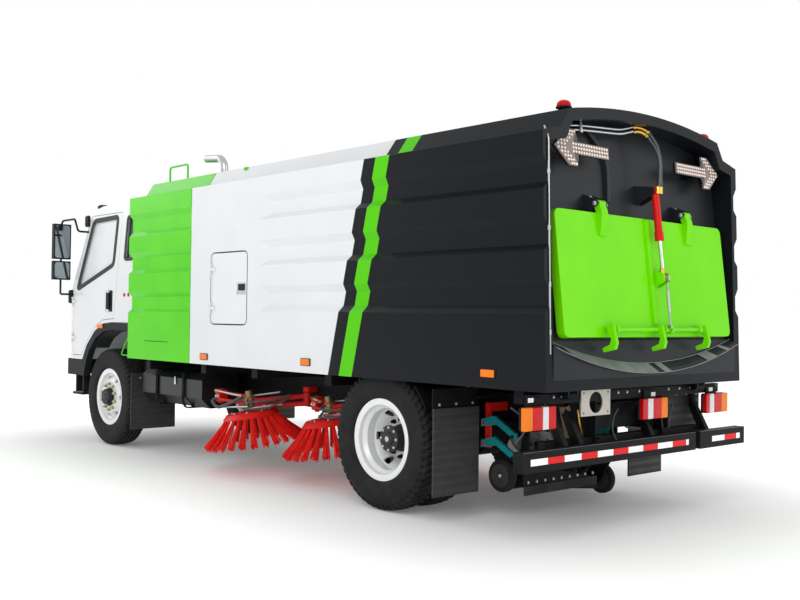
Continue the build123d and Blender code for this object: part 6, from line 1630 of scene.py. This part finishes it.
@dataclass
class BodySides:
    """Markers, the door's latch, straps and small fittings along the body."""

    places: Places
    wall: float = 1.125
    markers_at: Pairs = ((2.322, 1.019), (0.818, 1.034), (-1.108, 1.044))
    door: Pairs = ((1.652, 1.308), (2.229, 1.936))  # the access door's corners
    straps_x: Pair = (3.471, 2.961)

    def markers(self) -> None:
        """Amber side markers in black frames, the same on both sides."""
        p, lenses, frames = self.places, [], []
        for _, side in SIDES:
            for x, z in self.markers_at:
                for parts, wide, high, near, far, bevel in ((frames, 0.064, 0.029, -0.002, 0.007, 0.003),
                                                            (lenses, 0.058, 0.024, 0.006, 0.014, 0.004)):
                    parts.append(soft_box(p.at(x - wide, side * (self.wall + near), z - high),
                                          p.at(x + wide, side * (self.wall + far), z + high), bevel))
        make("side_marker_frames", frames, TRIM, "hopper")
        make("side_marker_lenses", lenses, AMBER_LENS, "hopper")

    def door_seam(self) -> None:
        """A dark rubber line round the access door."""
        shape = rounded([(-self.places.fore(x), z) for x, z in box_outline(*self.door)], 0.06)
        line = seal(shape, (0, self.wall - 0.0004, 0), ASTERN, UPRIGHT, 0.007, 0.0016)
        make("door_seam", [line], TRIM, "hopper")

    def latch(self) -> None:
        """The access door's paddle latch in its steel plate, and its lock barrel."""
        p, y = self.places, self.wall
        barrel = rod(p.at(1.79, y + 0.004, 1.585), p.at(1.79, y + 0.010, 1.585), 0.008)
        make("latch_plate", [*p.blocks(LATCH, 1, y), barrel], ZINC, "hopper_door")
        make("latch_paddle", p.blocks(PADDLE, 1, y), TRIM, "hopper_door")

    def fittings(self) -> None:
        """Roof knob and step slot on the cabinet, tank straps and its tag, grab wire by the arch."""
        p = self.places
        make("roof_knob", [lathe(KNOB, p.at(2.064, 0.869, 2.662), UPRIGHT, 24)], GREEN, "hopper")
        slots = [box for _, side in SIDES for box in p.blocks(SLOT, side, self.wall)]
        make("panel_slot", slots, TRIM, "chassis")
        straps = []
        for x in self.straps_x:
            straps += [p.line([(x + shift, *spot) for spot in STRAP_PATH], 0.0065, 0.03, 6)
                       for shift in (-0.012, 0.0, 0.012)]
            straps.append(bolt(p.at(x, 0.9675, 0.62), ACROSS, 0.01))
        make("tank_straps", straps, CHASSIS, "chassis")
        tag = plate(TANK_TAG, p.at(3.124, 0.957, 0.762), ASTERN, UPRIGHT, 0.002, 0.0004)
        make("tank_tag", [tag], ZINC, "chassis")
        wire = p.line([(x, 1.105, z) for x, z in GRAB_WIRE], 0.006, 0.03, 6)
        make("grab_wire", [wire], GREEN, "chassis")

    def build(self) -> None:
        """Everything on the body's sides."""
        self.markers()
        self.door_seam()
        self.latch()
        self.fittings()


def seal(outline: Array, origin: Point, u: Point, v: Point, width: float, depth: float) -> Shell:
    """A flat ring that follows an outline: the outline's corners moved in and out by half the width.

    Args:
        outline: rounded pairs along u and v.
        origin: where they are measured from, on the near face.
        u: first direction of the outline.
        v: second direction; the ring stands out along u x v.
        width: width of the ring.
        depth: how far it stands out.

    Returns:
        The ring, closed.
    """
    tangent = np.roll(outline, -1, 0) - np.roll(outline, 1, 0)
    tangent /= np.maximum(np.linalg.norm(tangent, axis=1), 1e-9)[:, None]
    normal = np.stack([tangent[:, 1], -tangent[:, 0]], -1)
    x, y = outline.T
    area = np.sum(x * np.roll(y, -1) - y * np.roll(x, -1))
    normal *= np.sign(area)
    u, v = np.array(u, float), np.array(v, float)
    w = np.cross(u, v)
    rings = [np.array(origin) + (outline + normal * width * k) @ np.stack([u, v]) + w * depth * h
             for k, h in ((-0.5, 0.0), (0.5, 0.0), (0.42, 1.0), (-0.42, 1.0))]
    made = grid(np.stack(rings, 1), loop=True)
    return Shell(made.points, made.quads if area < 0 else made.quads[:, ::-1])


# Corners of the side windows: ahead of the rear axle, height.
DOOR_WINDOW = ((5.240, 1.655), (4.845, 2.390), (4.278, 2.402), (4.371, 1.905))
QUARTER_WINDOW = ((4.125, 1.950), (4.060, 2.390), (3.940, 2.390), (3.940, 1.950))
# The wheel arch's inner line, from behind the wheel to ahead of it.
ARCH_LINE = ((3.902, 1.2135), (4.40, 1.2135), (4.567, 1.1955), (4.730, 1.128), (4.860, 1.018))
# Boxes on the cab's sides, for Places.blocks.
HANDLE = (((4.385, -0.002, 1.41), (4.535, 0.004, 1.635), 0.006),
          ((4.43, 0.003, 1.43), (4.49, 0.026, 1.615), 0.01))
MIRROR_FEET = (((5.354, -0.02, 1.50), (5.425, 0.03, 1.65), 0.012),
               ((4.94, -0.003, 2.335), (5.03, 0.028, 2.46), 0.012))
REPEATER = (((4.570, 0.011, 1.232), (4.700, 0.024, 1.272), 0.006),)
ROOF_LAMP = (((4.90, -0.20, 2.535), (5.00, -0.10, 2.585), 0.014),)
# Distance out from a head lamp's face and radius.
LAMP_BOWL = ((0, 0.062), (0.002, 0.062), (0.0036, 0.052), (0.004, 0.03))


@dataclass
class Cab:
    """Seals, handles, lamps, mirrors' glass, wipers and steps of the cab."""

    places: Places
    half: float = 1.0
    nose: float = 5.4655        # face of the head lamps
    back: float = 3.8497        # rear wall
    windshield_foot: Point = (5.400, 0, 1.630)
    slant: Pair = (0.45, 0.77)  # the windshield's run and rise
    mirror_y: Pair = (1.055, 1.222)
    mirror_z: Pairs = ((1.990, 2.380), (1.760, 1.968))
    # Painted shade under the wheel arches: the dark strips' span across and their thickness.
    shade_strip_y: Pair = (0.80, 0.984)
    shade_strip_wall: float = 0.004

    def seals(self) -> None:
        """Black rubber round every window but the windshield."""
        p = self.places
        for name, side in SIDES:
            origin, u = (0, side * (self.half + 0.0003), 0), (-side, 0, 0)
            for piece, body, window, radius, width in (
                    (f"door_seal_{name}", f"cab_door_{name}", DOOR_WINDOW, 0.05, 0.05),
                    (f"quarter_seal_{name}", "cab", QUARTER_WINDOW, 0.04, 0.034)):
                shape = rounded([(-side * p.fore(x), z) for x, z in window], radius)
                make(piece, [seal(shape, origin, u, UPRIGHT, width, 0.006)], HOSE, body)
        rear = rounded([(0.56, 1.95), (0.56, 2.39), (-0.56, 2.39), (-0.56, 1.95)], 0.03)
        make("rear_seal", [seal(rear, p.at(self.back, 0, 0), (0, -1, 0), UPRIGHT, 0.03, 0.006)], HOSE, "cab")

    def doors(self) -> None:
        """Handles, and the pressed crease on the door and behind it."""
        p = self.places
        for name, side in SIDES:
            body, y = f"cab_door_{name}", side * self.half
            make(f"door_handle_{name}", p.blocks(HANDLE, side, self.half), TRIM, body)
            crease = rod(p.at(5.325, y, 1.327), p.at(4.40, y, 1.378), 0.0035, 8)
            make(f"door_crease_{name}", [crease], WHITE, body)
            make(f"cab_crease_{name}", [rod(p.at(4.14, y, 1.392), p.at(3.87, y, 1.40), 0.0035, 8)], WHITE,
                 "cab")

    def lamps(self) -> None:
        """Marker lamps behind the door, the repeater on the arch, the head lamps and the roof's lamps."""
        p, red, amber, clear, roof = self.places, [], [], [], []
        for _, side in SIDES:
            y = side * (self.half - 0.001)
            red += [dome(p.at(x, y, 1.585), (0, side, 0), 0.021, 0.012, 20) for x in (4.117, 4.027)]
            amber += p.blocks(REPEATER, side, self.half)
            clear += [lathe(LAMP_BOWL, p.at(self.nose, side * out, 0.9775), AHEAD, 28)
                      for out in (0.675, 0.83)]
            roof += p.blocks(ROOF_LAMP, side, self.half)
        make("roof_lamps", roof, TRIM, "cab")
        make("cab_markers", red, RED_LENS, "cab")
        make("arch_repeaters", amber, AMBER_LENS, "cab")
        make("lamp_bowls", clear, CLEAR_LENS, "cab")

    def mirrors(self) -> None:
        """Silvered glass in the mirror heads, and the arms' feet on the cab."""
        p, glass, feet = self.places, [], []
        for _, side in SIDES:
            for low, high in self.mirror_z:
                near, far = (side * self.mirror_y[0], low + 0.014), (side * self.mirror_y[1], high - 0.014)
                shape = rounded(box_outline(near, far)[::side], 0.03)
                glass.append(plate([(-y, z) for y, z in shape[::-1]], p.at(5.3452, 0, 0), (0, -1, 0), UPRIGHT,
                                   0.002))
            feet += p.blocks(MIRROR_FEET, side, self.half)
        make("mirror_glass", glass, MIRROR, "cab")
        make("mirror_feet", feet, TRIM, "cab")

    def slopes(self) -> tuple[Array, Array]:
        """The way down the windshield and the way out of it."""
        run, rise = np.array(self.slant) / np.linalg.norm(self.slant)
        return np.array((run, 0, -rise)), np.array((rise, 0, run))

    def front(self) -> None:
        """Wipers on the windshield, its seal, the lamps' bezels, and tread ribs on the steps."""
        p, blades, ribs = self.places, [], []
        down, out = self.slopes()
        foot = np.array(p.at(5.385, 0, 1.66))
        for y in (0.55, -0.25):
            base = foot + np.array((0, y, 0)) + out * 0.018
            tip = base - down * 0.26 + np.array((0, -0.38, 0))
            half = down * 0.22 + np.array((0, 0.1, 0))
            blade = tip - out * 0.004
            blades += [rod(base, tip, 0.008, 8), rod(blade - half, blade + half, 0.006, 8),
                       rod(base - out * 0.02, base + out * 0.01, 0.018, 12)]
        make("wipers", blades, HOSE, "cab")
        shape = rounded(box_outline((-0.868, 0.072), (0.868, 0.808)), 0.06)
        face = np.array(p.at(*self.windshield_foot)) + out * 0.0004
        make("windshield_seal", [seal(shape, face, ACROSS, -down, 0.05, 0.006)], HOSE, "cab")
        bezels = [seal(rounded(box_outline((y - 0.155, 0.902), (y + 0.155, 1.053)), 0.03),
                       p.at(self.nose, 0, 0), ACROSS, UPRIGHT, 0.022, 0.004) for y in (0.752, -0.752)]
        make("lamp_bezels", bezels, TRIM, "cab")
        for _, side in SIDES:
            ribs += [soft_box(p.at(x, side * 0.80, 0.514), p.at(x + 0.012, side * 0.975, 0.519), 0.002)
                     for x in 5.12 + 0.028 * np.arange(8)]
        make("step_ribs", ribs, ZINC, "cab")

    def arch_shade_strips(self) -> None:
        """Dark strips under the wheel arches, painted shade inside the arch: each follows the arch, one wall
        thick.
        """
        line = np.array(ARCH_LINE)
        way = unit(np.gradient(line, axis=0))
        inner = line + np.stack([way[:, 1], -way[:, 0]], -1) * self.shade_strip_wall
        near, far = self.shade_strip_y
        arch_shade_strips = []
        for _, side in SIDES:
            edges = [[self.places.at(x, side * y, z) for x, z in edge]
                     for y, edge in ((near, line), (far, line), (far, inner), (near, inner))]
            arch_shade_strips.append(closed(np.stack(edges[::side], 1)))
        make("arch_painted_shade", arch_shade_strips, TRIM, "cab")

    def build(self) -> None:
        """Everything on the cab."""
        self.arch_shade_strips()
        self.seals()
        self.doors()
        self.lamps()
        self.mirrors()
        self.front()


# Large soft lamps: place, width and power.
LAMPS = {
    "key": ((-9.0, 11.0, 9.0), 9.0, 700.0),
    "fill": ((-12.0, -6.0, 6.0), 8.0, 260.0),
    "nose": ((11.0, 5.0, 7.0), 8.0, 260.0),
}


@dataclass
class Studio:
    """The room: floor, lamps, air and camera."""

    places: Places
    floor_half: float = 60.0
    aim: Point = (0, 0, 1.2)        # what the lamps look at
    air: float = 0.55               # strength of the air as a light
    glow: Pair = (0.10, 0.6)        # the floor's own light beside the truck, kept low there as painted shade, and far from it
    glow_run: float = 3.0           # distance over which the one becomes the other
    footprint: Pair = (3.0, 0.7)    # half length, half width of the darkest patch, where the low glow paints shade round the truck
    lens_mm: float = 44.85
    sensor_mm: float = 36.0
    eye: Point = (-5.417, 5.772, 1.394)
    yaw: float = 0.734
    pitch: float = 0.017
    roll: float = 0.013

    def floor(self) -> None:
        """A pale floor whose own light is kept low round the truck, a painted shade there, and brightens with
        distance to the air's own white, so its edge does not show.

        Distance = length of (max(|x| - footprint length, 0), max(|y| - footprint width, 0)).
        """
        half = self.floor_half
        mesh = bpy.data.meshes.new("studio_floor")
        corners = [(x, y, 0) for x, y in box_outline((-half, -half), (half, half))]
        mesh.from_pydata(corners, [], [(0, 1, 2, 3)])
        made = linked("studio_floor", mesh)
        material = bpy.data.materials.new("matte_backdrop")
        material.use_nodes = True
        tree = material.node_tree
        tree.nodes.clear()
        place = add(tree, "TexCoord").outputs["Object"]
        size = add(tree, "VectorMath", {0: place}, operation="ABSOLUTE")
        inside = {0: size.outputs[0], 1: (*self.footprint, 0)}
        past = add(tree, "VectorMath", inside, operation="SUBTRACT")
        out = add(tree, "VectorMath", {0: past.outputs[0], 1: (0, 0, 0)}, operation="MAXIMUM")
        away = add(tree, "VectorMath", {0: out.outputs[0]}, operation="LENGTH").outputs["Value"]
        ramp = {0: away, 1: 0.0, 2: self.glow_run, 3: self.glow[0], 4: self.glow[1]}
        grow = add(tree, "MapRange", ramp, interpolation_type="SMOOTHSTEP")
        matte = add(tree, "BsdfDiffuse", {0: linear("#f4f4f4")})
        own = add(tree, "Emission", {0: (1, 1, 1, 1), 1: grow.outputs[0]})
        both = add(tree, "AddShader", {0: matte.outputs[0], 1: own.outputs[0]})
        add(tree, "OutputMaterial", {0: both.outputs[0]})
        mesh.materials.append(material)

    def lamps(self) -> None:
        """Large soft lamps, all turned to the truck's middle."""
        for name, (place, size, power) in LAMPS.items():
            light = bpy.data.lights.new(name, "AREA")
            light.size, light.energy = size, power
            made = linked(name, light)
            made.location = place
            made.rotation_mode = "QUATERNION"
            made.rotation_quaternion = (Vector(self.aim) - Vector(place)).to_track_quat("-Z", "Y")

    def world(self) -> None:
        """Plain white air: full white where it is looked at, mirrored or seen through, softer as a light."""
        world = bpy.data.worlds.new("studio_air")
        world.use_nodes = True
        tree = world.node_tree
        tree.nodes.clear()
        rays = add(tree, "LightPath").outputs
        camera, glossy, through = (rays[f"Is {kind} Ray"] for kind in ("Camera", "Glossy", "Transmission"))
        two = add(tree, "Math", {0: camera, 1: glossy}, operation="MAXIMUM")
        seen = add(tree, "Math", {0: two.outputs[0], 1: through}, operation="MAXIMUM")
        strength = add(tree, "MapRange", {0: seen.outputs[0], 3: self.air, 4: 1.0})
        shine = add(tree, "Background", {0: (1, 1, 1, 1), 1: strength.outputs[0]})
        add(tree, "OutputWorld", {0: shine.outputs[0]})
        bpy.context.scene.world = world

    def camera(self) -> None:
        """The camera behind the left rear corner, low and almost level."""
        yaw, pitch, roll = self.yaw, self.pitch, self.roll
        flat = math.cos(pitch)
        ahead = Vector((math.cos(yaw) * flat, -math.sin(yaw) * flat, math.sin(pitch)))
        level = Vector((-math.sin(yaw), -math.cos(yaw), 0))
        upright = level.cross(ahead)
        right = math.cos(roll) * level + math.sin(roll) * upright
        up = -math.sin(roll) * level + math.cos(roll) * upright
        data = bpy.data.cameras.new("camera")
        data.lens, data.sensor_width = self.lens_mm, self.sensor_mm
        made = linked("camera", data)
        turn = Matrix((right, up, -ahead)).transposed()
        made.matrix_world = Matrix.Translation(self.places.at(*self.eye)) @ turn.to_4x4()
        bpy.context.scene.camera = made

    def build(self) -> None:
        """The whole room."""
        self.floor()
        self.lamps()
        self.world()
        self.camera()


def dress_nodes(nodes: dict[str, bpy.types.Object], places: Places) -> None:
    """Give every node that keeps its own shape its finish.

    Args:
        nodes: the frame's objects by name.
        places: where the stripes are measured from.
    """
    finishes = {name: finish for finish, names in FINISHED.items() for name in names.split()}
    for name, node in nodes.items():
        finish = finishes[name.removesuffix("_left").removesuffix("_right")]
        if finish is STRIPED:
            finish = replace(STRIPED, axle=places.rear_axle)
        node.data.materials.clear()
        node.data.materials.append(finish.material())


# Each brush station: its name, the brush's and the arm pivot's place ahead of the rear axle and outwards,
# and how far the arm's gear reaches ahead.
STATIONS = (("front", (1.992, 0.838), (1.620, 0.500), 0.49), ("rear", (1.130, 0.620), (0.740, 0.560), 0.19))
BRUSH_HEIGHT = 0.545
SEED = 7


def main() -> None:
    """Build the truck's looks in order."""
    logging.basicConfig(level=logging.INFO, format="%(name)s %(message)s")
    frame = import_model()
    rng = np.random.default_rng(SEED)
    places = Places.from_frame()
    bpy.context.scene.view_settings.view_transform = "Standard"
    dress_nodes(frame["nodes"], places)
    Wheels(places).build()
    for name, side in SIDES:
        for end, (x, y), (pivot_x, pivot_y), lead in STATIONS:
            Brush(end, name, side, places.at(x, side * y, BRUSH_HEIGHT),
                  (places.fore(pivot_x), side * pivot_y), lead).build(rng)
    for part in (RearLights, RearPanel, RearUnderside, BodySides, Cab, Studio):
        part(places).build()


if __name__ == "__main__":
    main()
